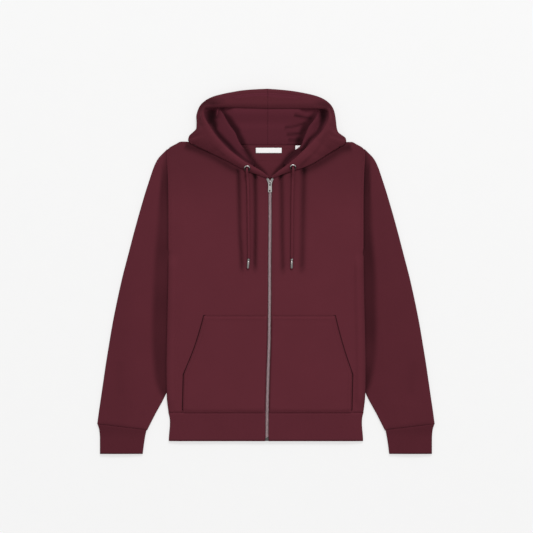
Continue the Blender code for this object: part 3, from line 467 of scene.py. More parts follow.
def front_relief(x, y):
    """The waves and troughs of the fronts, and how far they fall away at the side."""
    side_fall = 1.3 * (1 - np.clip((side_x(y) - np.abs(x)) / 15, 0, 1)) ** 2
    return lie(x, y) - troughs(x, y, FRONT_TROUGHS) - side_fall * (1 - 0.8 * armhole(y))


def shades(x, y, table):
    """How dark the cloth is painted along the middle of its folds and shadows, from 0 to 1."""
    return np.clip(troughs(x, y, table, 0.04, (0.03, 0.12)), 0, 0.9)


def line_shades(x, y, table):
    """Shade painted beside lines whose breadth and darkness change; below 0 it paints a highlight."""
    light = np.ones(np.shape(x))
    for rows in table:
        line = trace(rows, 90)
        gap = np.hypot(x[..., None] - line[:, 0], y[..., None] - line[:, 1])
        nearest = line[gap.argmin(axis=-1)]
        light *= 1 - nearest[..., 3] * np.exp(-((gap.min(axis=-1) / nearest[..., 2]) ** 3))
    return 1 - light


def front_shade(x, y):
    """The shade painted on the fronts: in their folds, at their sides and toward the shoulders."""
    # painted shade: darker near the sides, except by the armhole, and toward the shoulders
    side_dark = 0.26 * (1 - np.clip((side_x(y) - np.abs(x)) / 15, 0, 1)) ** 2
    side_dark *= 1 - armhole(y)
    high = 0.17 * smooth((y - 110) / 190)
    return np.clip(shades(x, y, FRONT_SHADES) + side_dark + high, 0, 0.9)


def sleeve_shade(x, y, side):
    """The shade painted in the hollow where a sleeve goes in under the body, and in its creases."""
    reach = spline(SLEEVE_HOLLOW_SHADE[side])(y)
    width = mix(17, 9, smooth((y - 120) / 80))
    beside = smooth((reach[..., 0] - x) / width + 0.5) * reach[..., 1]
    # painted shade along the body's edge by the armhole, and a little more over the sleeve
    at_edge = (0.12 if side > 0 else 0.20) * np.exp(-(((x - side_x(y)) / 4) ** 2)) * armhole(y)
    outer = 0.08 if side > 0 else 0.06 * smooth((x - 300) / 50) * smooth((170 - y) / 60)
    return np.clip(beside + at_edge + outer + shades(x, y, SLEEVE_SHADES), 0, 0.9)


def front_top(x, y):
    """The height of the outer face of the fronts."""
    return lift(x, y) + body_loft(x, y)


def patch(bottom, top, left, right):
    """Points between four edges that meet at their ends, one row for each point of left."""
    u = np.linspace(0, 1, len(bottom))[None, :, None]
    v = np.linspace(0, 1, len(left))[:, None, None]
    across = mix(left[:, None], right[:, None], u)
    along = mix(bottom[None], top[None], v)
    corners = mix(mix(bottom[0], bottom[-1], u), mix(top[0], top[-1], u), v)
    return across + along - corners


def knots(grid):
    """Mean distances along the rows of a grid, one for each column."""
    steps = np.linalg.norm(np.diff(grid, axis=1), axis=2).mean(axis=0)
    return np.concatenate([[0], np.cumsum(np.maximum(steps, 0.05))])


def steady(key, value):
    """Slopes that keep a curve through some values from running past them."""
    span = np.diff(key)[:, None]
    step = np.diff(value, axis=0) / span
    slope = np.zeros_like(value)
    before, after = step[:-1], step[1:]
    same = before * after > 0
    wide = 2 * span[1:] + span[:-1]
    near = span[1:] + 2 * span[:-1]
    joined = (wide + near) / (wide / np.where(same, before, 1) + near / np.where(same, after, 1))
    slope[1:-1] = np.where(same, joined, 0)
    slope[0], slope[-1] = step[0], step[-1]
    return slope


def finer_rows(grid, spacing, closed=False):
    """The same surface with each row's points closer together, on smooth curves."""
    count = grid.shape[1]
    first, last = 0, count - 1
    if closed:
        grid = np.concatenate([grid[:, -2:], grid, grid[:, :3]], axis=1)
        first, last = 2, count + 2
    key = knots(grid)
    places = []
    for i in range(first, last):
        parts = max(2, math.ceil((key[i + 1] - key[i]) / spacing))
        places.append(np.linspace(key[i], key[i + 1], parts, endpoint=False))
    if not closed:
        places.append([key[last]])
    places = np.concatenate(places)
    flat = grid.transpose(1, 0, 2).reshape(grid.shape[1], -1)
    made = spline(np.column_stack([key, flat]), steady)(places)
    return made.reshape(len(places), grid.shape[0], 3).transpose(1, 0, 2)


def finer(grid, spacing, closed=False):
    grid = finer_rows(grid, spacing, closed)
    return finer_rows(grid.transpose(1, 0, 2), spacing).transpose(1, 0, 2)


def sunk(grid, edges, depth, width):
    """The grid with its named edges drawn down into their seams."""
    steps = np.linalg.norm(np.diff(grid, axis=1), axis=2)
    across = np.concatenate([np.zeros((len(grid), 1)), np.cumsum(steps, axis=1)], axis=1)
    steps = np.linalg.norm(np.diff(grid, axis=0), axis=2)
    along = np.concatenate([np.zeros((1, grid.shape[1])), np.cumsum(steps, axis=0)], axis=0)
    distance = {
        "first_column": across,
        "last_column": across[:, -1:] - across,
        "first_row": along,
        "last_row": along[-1:] - along,
    }
    grid = grid.copy()
    for edge in edges:
        grid[..., 2] -= depth * (1 - np.clip(distance[edge] / width, 0, 1)) ** 2
    return grid


def finish(name, mesh, surface, body=GARMENT):
    mesh.materials.append(surface)
    made = bpy.data.objects.new(name, mesh)
    bpy.context.scene.collection.objects.link(made)
    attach(made, body)
    return made


def built(name, shape, surface, shaded_smooth=True):
    """The piece made of a bmesh shape, which is used up."""
    mesh = bpy.data.meshes.new(name)
    shape.to_mesh(mesh)
    shape.free()
    if shaded_smooth:
        mesh.shade_smooth()
    return finish(name, mesh, surface)


def map_face(face, layer, i, j, across, along):
    """Texture coordinates at the corners of the face in column i and row j of a grid."""
    for loop, (u, v) in zip(face.loops, ((i, j), (i + 1, j), (i + 1, j + 1), (i, j + 1))):
        loop[layer].uv = (across[u], along[v])


def join(shape, rings):
    """Faces between rings of points and over both ends; the faces between, with their places."""
    sides = len(rings[0])
    between = []
    for j, (first, second) in enumerate(zip(rings, rings[1:])):
        for i in range(sides):
            k = (i + 1) % sides
            face = shape.faces.new((first[i], first[k], second[k], second[i]))
            between.append((face, i, j))
    shape.faces.new(rings[0])
    shape.faces.new(rings[-1])
    return between


def cloth(name, grid, wall, surface, closed=False, hollow=None):
    """A thin shell of cloth on a grid of points; hollow is the shade painted on each of them."""
    rows, columns = grid.shape[:2]
    shape = bmesh.new()
    layer = shape.loops.layers.uv.new("UVMap")
    painted_shade = shape.verts.layers.float.new("painted_shade")
    points = [[shape.verts.new(point * MM) for point in row] for row in grid]
    # each point keeps its painted shade, which darkens its colour; below 0 it paints a highlight
    if hollow is not None:
        for row, shade_row in zip(points, hollow):
            for vert, depth in zip(row, shade_row):
                vert[painted_shade] = depth
    across = knots(np.concatenate([grid, grid[:, :1]], axis=1)) * MM
    along = knots(grid.transpose(1, 0, 2)) * MM
    for j in range(rows - 1):
        for i in range(columns if closed else columns - 1):
            k = (i + 1) % columns
            face = shape.faces.new((points[j][i], points[j][k], points[j + 1][k], points[j + 1][i]))
            map_face(face, layer, i, j, across, along)
    bmesh.ops.remove_doubles(shape, verts=shape.verts, dist=0.02 * MM)
    bmesh.ops.dissolve_degenerate(shape, dist=0.02 * MM, edges=shape.edges)
    made = built(name, shape, surface)
    thick = made.modifiers.new("wall", "SOLIDIFY")
    thick.thickness = wall * MM
    thick.offset = 0
    return made


def node_tree(name):
    """A new material, its nodes, its shader and the place on the object that patterns follow."""
    made = bpy.data.materials.new(name)
    made.use_nodes = True
    tree = made.node_tree
    place = tree.nodes.new("ShaderNodeTexCoord").outputs["Object"]
    return made, tree, tree.nodes["Principled BSDF"], place


def add(tree, kind, inputs=None, **settings):
    """A shader node with its settings; an input is a value or another node's output."""
    node = tree.nodes.new(kind)
    for key, value in settings.items():
        setattr(node, key, value)
    for key, value in (inputs or {}).items():
        if isinstance(value, bpy.types.NodeSocket):
            tree.links.new(value, node.inputs[key])
        else:
            node.inputs[key].default_value = value
    return node


def math_node(tree, operation, first, second):
    return add(tree, "ShaderNodeMath", {0: first, 1: second}, operation=operation).outputs[0]


def times(tree, first, second):
    return math_node(tree, "MULTIPLY", first, second)


def plus(tree, first, second):
    return math_node(tree, "ADD", first, second)


def painted_shade_factor(tree):
    """1 where no shade is painted, less under painted shade and more under a painted highlight."""
    painted_shade = add(tree, "ShaderNodeAttribute", attribute_name="painted_shade").outputs["Fac"]
    return math_node(tree, "SUBTRACT", 1.0, painted_shade)


def emboss(tree, shader, height, strength, depth):
    """Gives a shader the relief of a pattern, depth deep."""
    inputs = {"Height": height, "Strength": strength, "Distance": depth * MM}
    bump = add(tree, "ShaderNodeBump", inputs).outputs["Normal"]
    tree.links.new(bump, shader.inputs["Normal"])


def roughen(tree, shader, pattern, swing, least):
    """Makes a shader's roughness rise by swing from its least with a pattern."""
    rough = plus(tree, times(tree, pattern, swing), least)
    tree.links.new(rough, shader.inputs["Roughness"])


def tint_and_paint_shade(tree, shader, colour, tone):
    """Gives a shader a colour that a tone makes lighter or darker; the tone carries the painted
    shade.
    """
    dyed = add(tree, "ShaderNodeMix", {"Factor": 1.0}, data_type="RGBA", blend_type="MULTIPLY")
    dyed.inputs[6].default_value = (*colour, 1)
    tree.links.new(tone, dyed.inputs[7])
    tree.links.new(dyed.outputs[2], shader.inputs["Base Color"])


def bands(tree, vector, pitch, direction, distortion):
    """Soft bands across a direction of a vector in metres, from 0 to 1."""
    inputs = {"Vector": vector, "Scale": math.pi / 10 / (pitch * MM), "Distortion": distortion}
    return add(tree, "ShaderNodeTexWave", inputs, bands_direction=direction).outputs["Fac"]


def noise(tree, vector, size, detail=2.0, roughness=0.5):
    inputs = {"Vector": vector, "Scale": 1 / (size * MM), "Detail": detail, "Roughness": roughness}
    return add(tree, "ShaderNodeTexNoise", inputs).outputs["Fac"]


def fabric(name, colour, wale, course, depth):
    """A cloth with wales and courses of these widths and depth, fuzz, uneven dye and painted shade.
    """
    made, tree, shader, place = node_tree(name)
    uv = add(tree, "ShaderNodeUVMap", uv_map="UVMap").outputs["UV"]
    ribs = bands(tree, uv, wale, "X", distortion=0.6)
    rows = bands(tree, uv, course, "Y", distortion=1.0)
    fuzz = noise(tree, place, 1.3, detail=3.0, roughness=0.7)
    knit = times(tree, ribs, math_node(tree, "MULTIPLY_ADD", rows, 0.5))
    knit = plus(tree, knit, times(tree, fuzz, 0.6))
    emboss(tree, shader, knit, 0.5, depth)
    broad = noise(tree, place, 90)
    tone = 1.0
    for pattern, middle, strength in ((broad, 0.5, 0.10), (fuzz, 0.5, 0.16), (knit, 0.6, 0.10)):
        tone = plus(tree, tone, times(tree, math_node(tree, "SUBTRACT", pattern, middle), strength))
    tint_and_paint_shade(tree, shader, colour, times(tree, tone, painted_shade_factor(tree)))
    roughen(tree, shader, fuzz, 0.12, 0.84)
    shader.inputs["Specular IOR Level"].default_value = 0.06
    shader.inputs["Sheen Weight"].default_value = 0.03
    shader.inputs["Sheen Roughness"].default_value = 0.55
    shader.inputs["Sheen Tint"].default_value = (0.75, 0.35, 0.42, 1)
    return made


def metal(name, colour, roughness):
    """A fine-grained metal, a little worn, with painted shade; its roughness varies about its mean.
    """
    made, tree, shader, place = node_tree(name)
    grain = noise(tree, place, 0.8, detail=4.0, roughness=0.65)
    worn = noise(tree, place, 5.0)
    roughen(tree, shader, grain, 0.18, roughness - 0.09)
    tone = plus(tree, times(tree, worn, 0.25), 0.87)
    tint_and_paint_shade(tree, shader, colour, times(tree, tone, painted_shade_factor(tree)))
    emboss(tree, shader, grain, 0.15, 0.1)
    shader.inputs["Metallic"].default_value = 1.0
    return made


FLEECE = fabric("burgundy_fleece", (0.110, 0.0215, 0.0318), 1.5, 1.2, 0.25)
# the same fleece and rib made darker for the sleeves, the outer hood and the cuffs: painted shade
SHADED_SLEEVE_FLEECE = fabric("burgundy_fleece_sleeve_painted_shade", (0.102, 0.0198, 0.0295), 1.5, 1.2, 0.25)
SHADED_HOOD_FLEECE = fabric("burgundy_fleece_hood_painted_shade", (0.089, 0.0174, 0.0257), 1.5, 1.2, 0.25)
RIB = fabric("burgundy_rib", (0.102, 0.0198, 0.0297), RIB_PITCH, 1.3, 0.35)
SHADED_CUFF_RIB = fabric("burgundy_rib_cuff_painted_shade", (0.088, 0.0170, 0.0254), RIB_PITCH, 1.3, 0.35)
LINING = fabric("burgundy_lining", (0.0875, 0.0167, 0.0265), 1.2, 1.0, 0.18)
BRAID = fabric("burgundy_braid", (0.108, 0.0210, 0.0312), 1.0, 1.4, 0.3)
TAPE = fabric("burgundy_tape", (0.070, 0.0135, 0.020), 0.7, 0.7, 0.1)
THREAD = fabric("burgundy_thread", (0.115, 0.0225, 0.0335), 0.4, 0.4, 0.05)
LABEL = fabric("white_label", (0.93, 0.925, 0.92), 0.5, 0.5, 0.05)
NICKEL = metal("satin_nickel", (0.62, 0.60, 0.585), 0.34)
TEETH = metal("nickel_teeth", (0.76, 0.60, 0.63), 0.5)
TIP_METAL = metal("tip_nickel", (0.32, 0.308, 0.303), 0.36)
SLIDER_METAL = metal("slider_nickel", (0.36, 0.345, 0.34), 0.36)
# near black, for the discs painted as the shadow seen through the tab's holes
HOLE_SHADOW_METAL = metal("painted_hole_shadow", (0.025, 0.02, 0.02), 0.6)
DARK_METAL = metal("dark_nickel", (0.13, 0.12, 0.12), 0.45)


def hem_row(y, side):
    """Points across one front at y, from the zip to the side."""
    inner = zip_x(y) + side * ZIP_HALF
    outer = side * (side_x(y) - EDGE_LOFT / 2)
    x = mix(inner, outer, ACROSS_FRONT)
    return np.column_stack([x, np.full(len(x), y)])


def back_neck_y(x):
    return BACK_NECK_Y + BACK_NECK_RISE * (np.abs(x) / 192) ** 2


def rolled_edges(plan, side_ends, sign):
    """Rows and columns added to a panel's plan, with the drop of each point round its folds."""
    turns = np.radians(FOLD_TURNS)
    radius = (EDGE_LOFT - WALL) / 2
    rise = np.zeros(plan.shape[:2])
    # beside the armhole and the neck a panel stays flat, and its added points only close the gap
    for side, at_end in side_ends:
        edge = plan[:, -1] if at_end else plan[:, 0]
        folded = smooth((UNDERARM_Y - edge[:, 1]) / 10)
        for turn in turns:
            flat_step = radius * turn / turns[-1]
            step = mix(flat_step, radius * math.sin(turn), folded)
            new = edge + np.column_stack([side * step, np.zeros(len(step))])
            new_rise = sign * radius * (1 - math.cos(turn)) * folded
            plan = np.insert(plan, plan.shape[1] if at_end else 0, new, axis=1)
            rise = np.insert(rise, rise.shape[1] if at_end else 0, new_rise, axis=1)
    top, top_rise = plan[-1], rise[-1]
    shares = smooth((np.abs(top[:, 0]) - 186) / 9)
    for turn in turns:
        step = mix(NECK_MARGIN * turn / turns[-1], radius * math.sin(turn), shares)
        new = top + np.column_stack([np.zeros(len(step)), step])
        new_rise = top_rise + sign * radius * (1 - math.cos(turn)) * shares
        plan = np.vstack([plan, new[None]])
        rise = np.vstack([rise, new_rise[None]])
    return plan, rise


def armhole_and_side(side):
    """Points up the edge of a body panel, from the hem seam to the shoulder."""
    y = np.linspace(HEM_SEAM_Y - SEAM_LAP, SHOULDER[0][1] - EDGE_LOFT / 2, SIDE_ROWS)
    return np.column_stack([side * (side_x(y) - EDGE_LOFT / 2), y])


def crest(side):
    """The shoulder line, from the armhole to the neck."""
    return [(side * x, y - EDGE_LOFT / 2) for x, y in SHOULDER[1:]]


def neckline(side):
    """The edge of a front's cloth where it goes in under the hood."""
    values = hood_rows(side)
    points = []
    for row in (1, 2, 3, 4, 4.7):
        rim, edge = plan_points(values(row), "rim", "edge")
        points.append(edge + NECK_OVERLAP * unit(rim - edge))
    return points


def make_front(name, side):
    low = HEM_SEAM_Y - SEAM_LAP
    bottom = hem_row(low, side)
    outer = armhole_and_side(side)
    y = np.linspace(low, ZIP_TOP_Y, SIDE_ROWS)
    inner = np.column_stack([zip_x(y) + side * ZIP_HALF, y])
    top = resampled([inner[-1], *neckline(side), *crest(side)[::-1], outer[-1]], ACROSS_FRONT)
    plan = patch(bottom, top, inner, outer)
    plan, rise = rolled_edges(plan, ((side, True),), -1)
    grid = finer(np.dstack([plan, rise]), spacing=4.0)
    x, y = grid[..., 0], grid[..., 1]
    grid[..., 2] += front_top(x, y) - WALL / 2 + front_relief(x, y)
    grid = sunk(grid, ("first_column", "first_row"), depth=0.7, width=3.5)
    from_side = side_x(y) - WALL / 2 - np.abs(x)
    grid[..., 2] -= 0.5 * armhole(y) * (1 - np.clip(from_side / 3.5, 0, 1)) ** 2
    return cloth(name, grid, WALL, FLEECE, hollow=front_shade(x, y))


def make_back():
    low = HEM_SEAM_Y - SEAM_LAP
    bottom = np.vstack([hem_row(low, -1)[::-1], hem_row(low, 1)[1:]])
    left, right = armhole_and_side(-1), armhole_and_side(1)
    neck = [(x, back_neck_y(x) - NECK_MARGIN) for x in np.linspace(-186, 186, 9)]
    shares = np.concatenate([(1 - ACROSS_FRONT[::-1]) / 2, (1 + ACROSS_FRONT[1:]) / 2])
    top = resampled([left[-1], *crest(-1)[:-1], *neck, *crest(1)[-2::-1], right[-1]], shares)
    plan = patch(bottom, top, left, right)
    plan, rise = rolled_edges(plan, ((-1, False), (1, True)), 1)
    grid = finer(np.dstack([plan, rise]), spacing=5.0)
    x, y = grid[..., 0], grid[..., 1]
    grid[..., 2] += lift(x, y) + WALL / 2
    # painted shade: darker toward the neck, and along the lines beside the lining's folds
    painted_neck_shade = 0.13 * smooth((y - 190) / 30)
    shade = 1 - (1 - painted_neck_shade) * (1 - line_shades(x, y, NECK_SHADE_LINES))
    return cloth("back_panel", grid, WALL, FLEECE, hollow=shade)


def arc(turns, centre, outwards, radius, height):
    """Points round a fold about a centre, at turns in degrees from level."""
    points = []
    for turn in np.radians(turns):
        place = centre + outwards * radius * math.cos(turn)
        points.append((*place, height + radius * math.sin(turn)))
    return points


def ring(outer, fold, fold_loft, pressed, loft, edge_loft, wall):
    """A section round a flat tube: over its top, round its edge, back below and round its fold."""
    outer, fold = np.array(outer, float), np.array(fold, float)
    width = np.linalg.norm(outer - fold)
    direction = (outer - fold) / width
    low, high = fold_loft / 2, edge_loft / 2
    along = (width - high) * np.array((0, 0.07, 0.15, 0.25, 0.38, 0.52, 0.67, 0.83, 1.0))
    rise = smooth((along - pressed) / 42)
    fall = smooth((width - high - along) / 34)
    heights = mix(edge_loft, mix(fold_loft, loft, rise), fall) - wall / 2
    places = fold + direction * along[:, None]
    above = [(*place, height) for place, height in zip(places, heights)]
    edge = arc((54, 18, -18, -54), places[-1], direction, high - wall / 2, high)
    below = [(*place, wall / 2) for place in places[::-1]]
    inner = arc((-54, -18, 18, 54), fold, -direction, low - wall / 2, low)
    return np.array(above + edge + below + inner)


def make_sleeve(name, side):
    rings = []
    for outer_x, outer_y, fold_x, fold_y, fold_loft, pressed, loft in SLEEVE_SECTIONS:
        at = ring((outer_x, outer_y), (fold_x, fold_y), fold_loft, pressed, loft, EDGE_LOFT, WALL)
        rings.append(at)
    rings[0][:, 0] = side_x(rings[0][:, 1]) - WALL / 2 - 2 * SEAM_LAP
    grid = finer(np.array(rings), spacing=4.4, closed=True)
    x, y, z = np.moveaxis(grid, -1, 0)
    on_top = smooth((z - 2.6) / 3.0)
    moved = 0 if side > 0 else 5
    grid[..., 2] += on_top * (lie(x * side, y) - troughs(x + moved, y + 2 * moved, SLEEVE_TROUGHS))
    shade = sleeve_shade(x, y, side) * smooth((z - 2.4) / 0.9)
    grid[..., 0] *= side
    top_only = grid[..., 2].copy()
    grid = sunk(grid, ("first_row",), depth=1.8, width=6.0)
    grid = sunk(grid, ("last_row",), depth=0.5, width=3.0)
    grid[..., 2] = mix(top_only, grid[..., 2], on_top)
    return cloth(name, grid, WALL, SHADED_SLEEVE_FLEECE, closed=True, hollow=shade)


def ribbed(grid, closed):
    """A finer grid whose outer points rise and fall in ribs that run down its columns."""
    grid = finer_rows(grid, RIB_PITCH / 4, closed)
    wave = RIB_HEIGHT * np.cos(2 * math.pi * knots(grid) / RIB_PITCH)
    normal = np.cross(np.gradient(grid, axis=1), np.gradient(grid, axis=0))
    normal /= np.linalg.norm(normal, axis=2, keepdims=True) + 1e-9
    above = smooth((grid[..., 2] - 2.0) / 1.5)[..., None]
    return grid + normal * wave[None, :, None] * above


def make_cuff(name, side):
    rings = []
    for outer_x, outer_y, inner_x, inner_y in CUFF_SECTIONS:
        direction = unit(np.array((outer_x - inner_x, outer_y - inner_y)))
        fold = np.array((inner_x, inner_y)) + direction * EDGE_LOFT / 2
        rings.append(ring((outer_x, outer_y), fold, EDGE_LOFT, 0, CUFF_LOFT, EDGE_LOFT, RIB_WALL))
    grid = np.array(rings)
    grid = finer_rows(grid.transpose(1, 0, 2), 5.0).transpose(1, 0, 2)
    grid = ribbed(grid, closed=True)
    x, y, z = np.moveaxis(grid, -1, 0)
    grid[..., 2] += smooth((z - 2.6) / 3.0) * lie(x * side, y)
    grid[..., 0] *= side
    # painted shade, darker toward the cuff's top
    shade = 0.09 * smooth((y + 402) / 20)
    return cloth(name, grid, RIB_WALL, SHADED_CUFF_RIB, closed=True, hollow=shade)


def make_hem_band():
    rows = []
    for y in np.linspace(HEM_SEAM_Y + SEAM_LAP, HEM_Y, 12):
        half = []
        for side in (-1, 1):
            top = hem_row(y, side)
            height = body_loft(top[:, 0], top[:, 1]) - RIB_WALL / 2
            centre = np.array((side * (side_x(y)[0] - EDGE_LOFT / 2), y))
            outwards, radius = np.array((side, 0)), (EDGE_LOFT - RIB_WALL) / 2
            edge = arc(EDGE_TURNS, centre, outwards, radius, EDGE_LOFT / 2)
            half.append([(*place, z) for place, z in zip(top, height)] + edge)
        floor_x = np.linspace(-1, 1, 17) * (side_x(y)[0] - EDGE_LOFT / 2)
        floor = [(x, y, RIB_WALL / 2) for x in floor_x]
        rows.append(half[0] + floor + half[1][::-1])
    grid = ribbed(np.array(rows), closed=False)
    x, y, z = np.moveaxis(grid, -1, 0)
    grid[..., 2] += smooth((z - 2.6) / 3.0) * front_relief(x, y)
    grid = sunk(grid, ("first_column", "last_column"), depth=0.9, width=3.0)
    return cloth("hem_rib", grid, RIB_WALL, RIB)


def pocket_reach(y):
    """How far the pocket's edge lies from the zip: upright, then slanted and a little hollow."""
    share = np.clip((y - POCKET_CORNER_Y) / (POCKET_TOP_Y - POCKET_CORNER_Y), 0, 1)
    return mix(POCKET_SIDE, POCKET_TOP, share) - MOUTH_BOW * np.sin(math.pi * share)


def make_pocket(name, side):
    low = HEM_SEAM_Y - SEAM_LAP
    rows, columns = 17, 8
    y = np.linspace(low, POCKET_TOP_Y, rows)
    inner = np.column_stack([zip_x(y) + side * POCKET_ZIP, y])
    outer = np.column_stack([zip_x(y) + side * pocket_reach(y), y])
    bottom = mix(inner[0], outer[0], np.linspace(0, 1, columns)[:, None])
    top = mix(inner[-1], outer[-1], np.linspace(0, 1, columns)[:, None])
    plan = patch(bottom, top, inner, outer)
    grid = finer(np.dstack([plan, np.zeros(plan.shape[:2])]), spacing=3.6)
    x, y = grid[..., 0], grid[..., 1]
    grid[..., 2] = front_top(x, y) + front_relief(x, y) + SEAM_GAP + WALL / 2
    grid = sunk(grid, ("first_column", "last_column", "last_row"), depth=0.9, width=4.5)
    grid[..., 2] -= 1.8 * smooth((HEM_SEAM_Y + 12 - y) / 12)
    inside = POCKET_TOP_Y - y
    # at the top edge: a painted dark line, and a painted highlight just inside it
    painted_top_line_and_highlight = 0.24 * np.exp(-((inside / 1.8) ** 2)) - 0.14 * np.exp(-(((inside - 3.6) / 2.2) ** 2))
    return cloth(name, grid, WALL, FLEECE, hollow=front_shade(x, y) + painted_top_line_and_highlight)


def make_mouth(name, side):
    """A narrow fold of the front's cloth under a pocket's mouth and side, painted dark as shade."""
    low = np.linspace(HEM_SEAM_Y + 6, POCKET_CORNER_Y, 26)[:-1]
    y = np.concatenate([low, np.linspace(POCKET_CORNER_Y, POCKET_TOP_Y + 1.5, 50)])
    edge = pocket_reach(y)
    rows = []
    for step, rise in ((-3.0, 0.4), (-1.0, 1.0), (0.3, 1.1), (1.5, 0.9), (2.5, 0.35), (2.9, -0.4)):
        x = zip_x(y) + side * (edge + step)
        z = front_top(x, y) + front_relief(x, y) + rise - 0.4
        rows.append(np.column_stack([x, y, z]))
    grid = np.array(rows)
    # painted shade: the fold is darkened as the shade in the pocket's mouth
    dark = np.full(grid.shape[:2], 0.72)
    dark[0], dark[1], dark[-1] = 0.75, 0.75, 0.45
    return cloth(name, grid, 0.5, FLEECE, hollow=dark)


def hood_rows(side):
    """A function that gives the hood's named values at any place between its rows."""
    table = HOOD_LEFT if side > 0 else HOOD_RIGHT
    at = spline([(row, *values) for row, values in enumerate(table)])

    def values(row):
        return dict(zip(HOOD_COLUMNS, at(row)[0]))

    return values


def plan_points(values, *names):
    """Points of the hood seen from above, by their names."""
    return [np.array((values[name + "_x"], values[name + "_y"])) for name in names]


def hood_section(values, row):
    """Points down the middle of the hood's outer cloth from the rim to the seam at the neck."""
    rim, edge = plan_points(values, "rim", "edge")
    neck = np.array((values["neck_x"], back_neck_y(values["neck_x"]) - SEAM_LAP))
    inwards = unit(rim - edge)
    on_front = BODY_LOFT + SEAM_GAP + WALL / 2
    folded = row >= NECK_POINT_ROW
    growth = smooth((row - NECK_POINT_ROW) / 1.0)
    edge_z = mix(on_front, 2 * HOOD_FOLD - WALL / 2, growth)
    radius = (edge_z - WALL / 2) / 2
    centre = edge + inwards * (radius + WALL / 2) if folded else edge
    share = np.linspace(0, 1, TOP_POINTS)
    full = share ** mix(1.0, 2.0, smooth(row / 1.5) * smooth((8 - row) / 2))
    crown = 1.2 * np.sin(math.pi * share) * smooth(row / 3)
    top = mix(rim, centre, share[:, None])
    heights = mix(values["rim_z"], edge_z, full) + crown
    heights[0] -= 1.4 * smooth(row / 1.5)
    points = [(*place, z) for place, z in zip(top, heights)]
    if not folded:
        return points + [points[-1]] * 9
    points += arc(EDGE_TURNS, centre, -inwards, radius, WALL / 2 + radius)
    for share in (0, 0.33, 0.67, 1):
        points.append((*mix(centre, neck, share), WALL / 2))
    return points


def rim_roll(values):
    """Points where the hood's cloth turns over its rim and down into the mouth."""
    rim, edge = plan_points(values, "rim", "edge")
    inwards = unit(rim - edge)
    return [
        (*(rim + inwards * 0.6), values["rim_z"] - 6.4),
        (*(rim + inwards * 1.6), values["rim_z"] - 4.8),
        (*(rim + inwards * 1.5), values["rim_z"] - 3.0),
    ]


def hood_relief(x, y):
    return 0.8 * lie(1.6 * x, 1.6 * y) - troughs(x, y, HOOD_TROUGHS)


def make_hood(name, side):
    values = hood_rows(side)
    rows = [rim_roll(values(row)) + hood_section(values(row), row) for row in HOOD_PLACES]
    grid = finer(np.array(rows), spacing=HOOD_SPACING)
    x, y, z = np.moveaxis(grid, -1, 0)
    on_top = smooth((z - 8.0) / 2.0)
    grid[..., 2] += on_top * hood_relief(x, y)
    # the painted highlight along the rim, with the painted shade and highlights of the hood's tables
    lit = np.arange(0.8, 7.7, 0.4)
    rim = [(*plan_points(values(row), "rim")[0], *RIM_HIGHLIGHT) for row in lit]
    shade = shades(x, y, HOOD_SHADES) + line_shades(x, y, (*HOOD_LIGHT_AND_SHADE_LINES, rim))
    return cloth(name, grid, WALL, SHADED_HOOD_FLEECE, hollow=shade * on_top)


def lining_section(values, row):
    """Points down the middle of the lining, from under the rim round its fold to the neck."""
    rim, edge = plan_points(values, "rim", "edge")
    hollow, fold = plan_points(values, "hollow", "fold")
    outwards = unit(edge - rim)
    low = mix(LINING_LOW_Z, LINING_FLOOR_Z, smooth((row - 8) / 1.0))
    across = unit(fold - hollow)
    radius = (values["fold_z"] - low) / 2
    centre = fold - across * radius
    start = rim + outwards * 0.8
    start_z = values["rim_z"] - WALL - 3 * SEAM_GAP
    points = [(*start, start_z)]
    points.append((*mix(start, hollow, 0.55), mix(start_z, values["hollow_z"], 0.55)))
    points.append((*hollow, values["hollow_z"]))
    points.append((*mix(hollow, centre, 0.5), mix(values["hollow_z"], values["fold_z"], 0.6)))
    points += arc((90, 45, 0, -45, -90), centre, across, radius, low + radius)
    if row < NECK_POINT_ROW:
        end = edge - outwards * (NECK_OVERLAP + 3.0)
        end_z = BODY_LOFT - WALL / 2
    else:
        x = 0.92 * values["neck_x"]
        end = np.array((x, back_neck_y(x) - 2 * SEAM_LAP))
        end_z = LINING_FLOOR_Z
    for share in (0.25, 0.5, 0.75, 1):
        drop = smooth(share) if row < NECK_POINT_ROW else smooth((share - 0.35) / 0.5)
        points.append((*mix(centre, end, share), mix(low, end_z, drop)))
    return points


def make_lining(name, side):
    values = hood_rows(side)
    places = [row for row in HOOD_PLACES if row >= LINING_START]
    rows = [lining_section(values(row), row) for row in places]
    grid = finer(np.array(rows), spacing=HOOD_SPACING)
    x, y, z = np.moveaxis(grid, -1, 0)
    on_floor = 1 - smooth((z - 5.5) / 1.5)
    below_folds = np.maximum(on_floor, smooth((298 - y) / 8))
    # painted shade in the lining's wrinkles, beside its folds and in the hollow under the rim
    light = 1 - shades(x, y, LINING_SHADES) * on_floor
    light *= 1 - line_shades(x, y, NECK_SHADE_LINES) * below_folds
    # a painted highlight on the raised floor and along the lining's end at the neck seam
    painted_seam_highlight = smooth((back_neck_y(x) + 3.4 - y) / 3.4) * (y > 290)
    light *= 1 + on_floor * (0.22 * smooth((y - 336) / 22) + 0.3 * painted_seam_highlight)
    light *= 1 - line_shades(x, y, HOLLOW_SHADE_LINES) * smooth((z - 6.5) / 1.0)
    raised = (9.0 + 6.0 * smooth((96 - np.abs(x)) / 22)) * smooth((y - 346) / 44)
    near_seam = smooth((back_neck_y(x) + 13 - y) / 13) * (y > 290)
    relief = 0.5 * np.abs(lie(1.8 * x, 1.8 * y)) - 0.5 * troughs(x, y, LINING_TROUGHS)
    grid[..., 2] += on_floor * (raised + relief * (1 - 0.7 * near_seam) - 1.9 * near_seam)
    return cloth(name, grid, LINING_WALL, LINING, hollow=np.clip(1 - light, -0.4, 0.93))


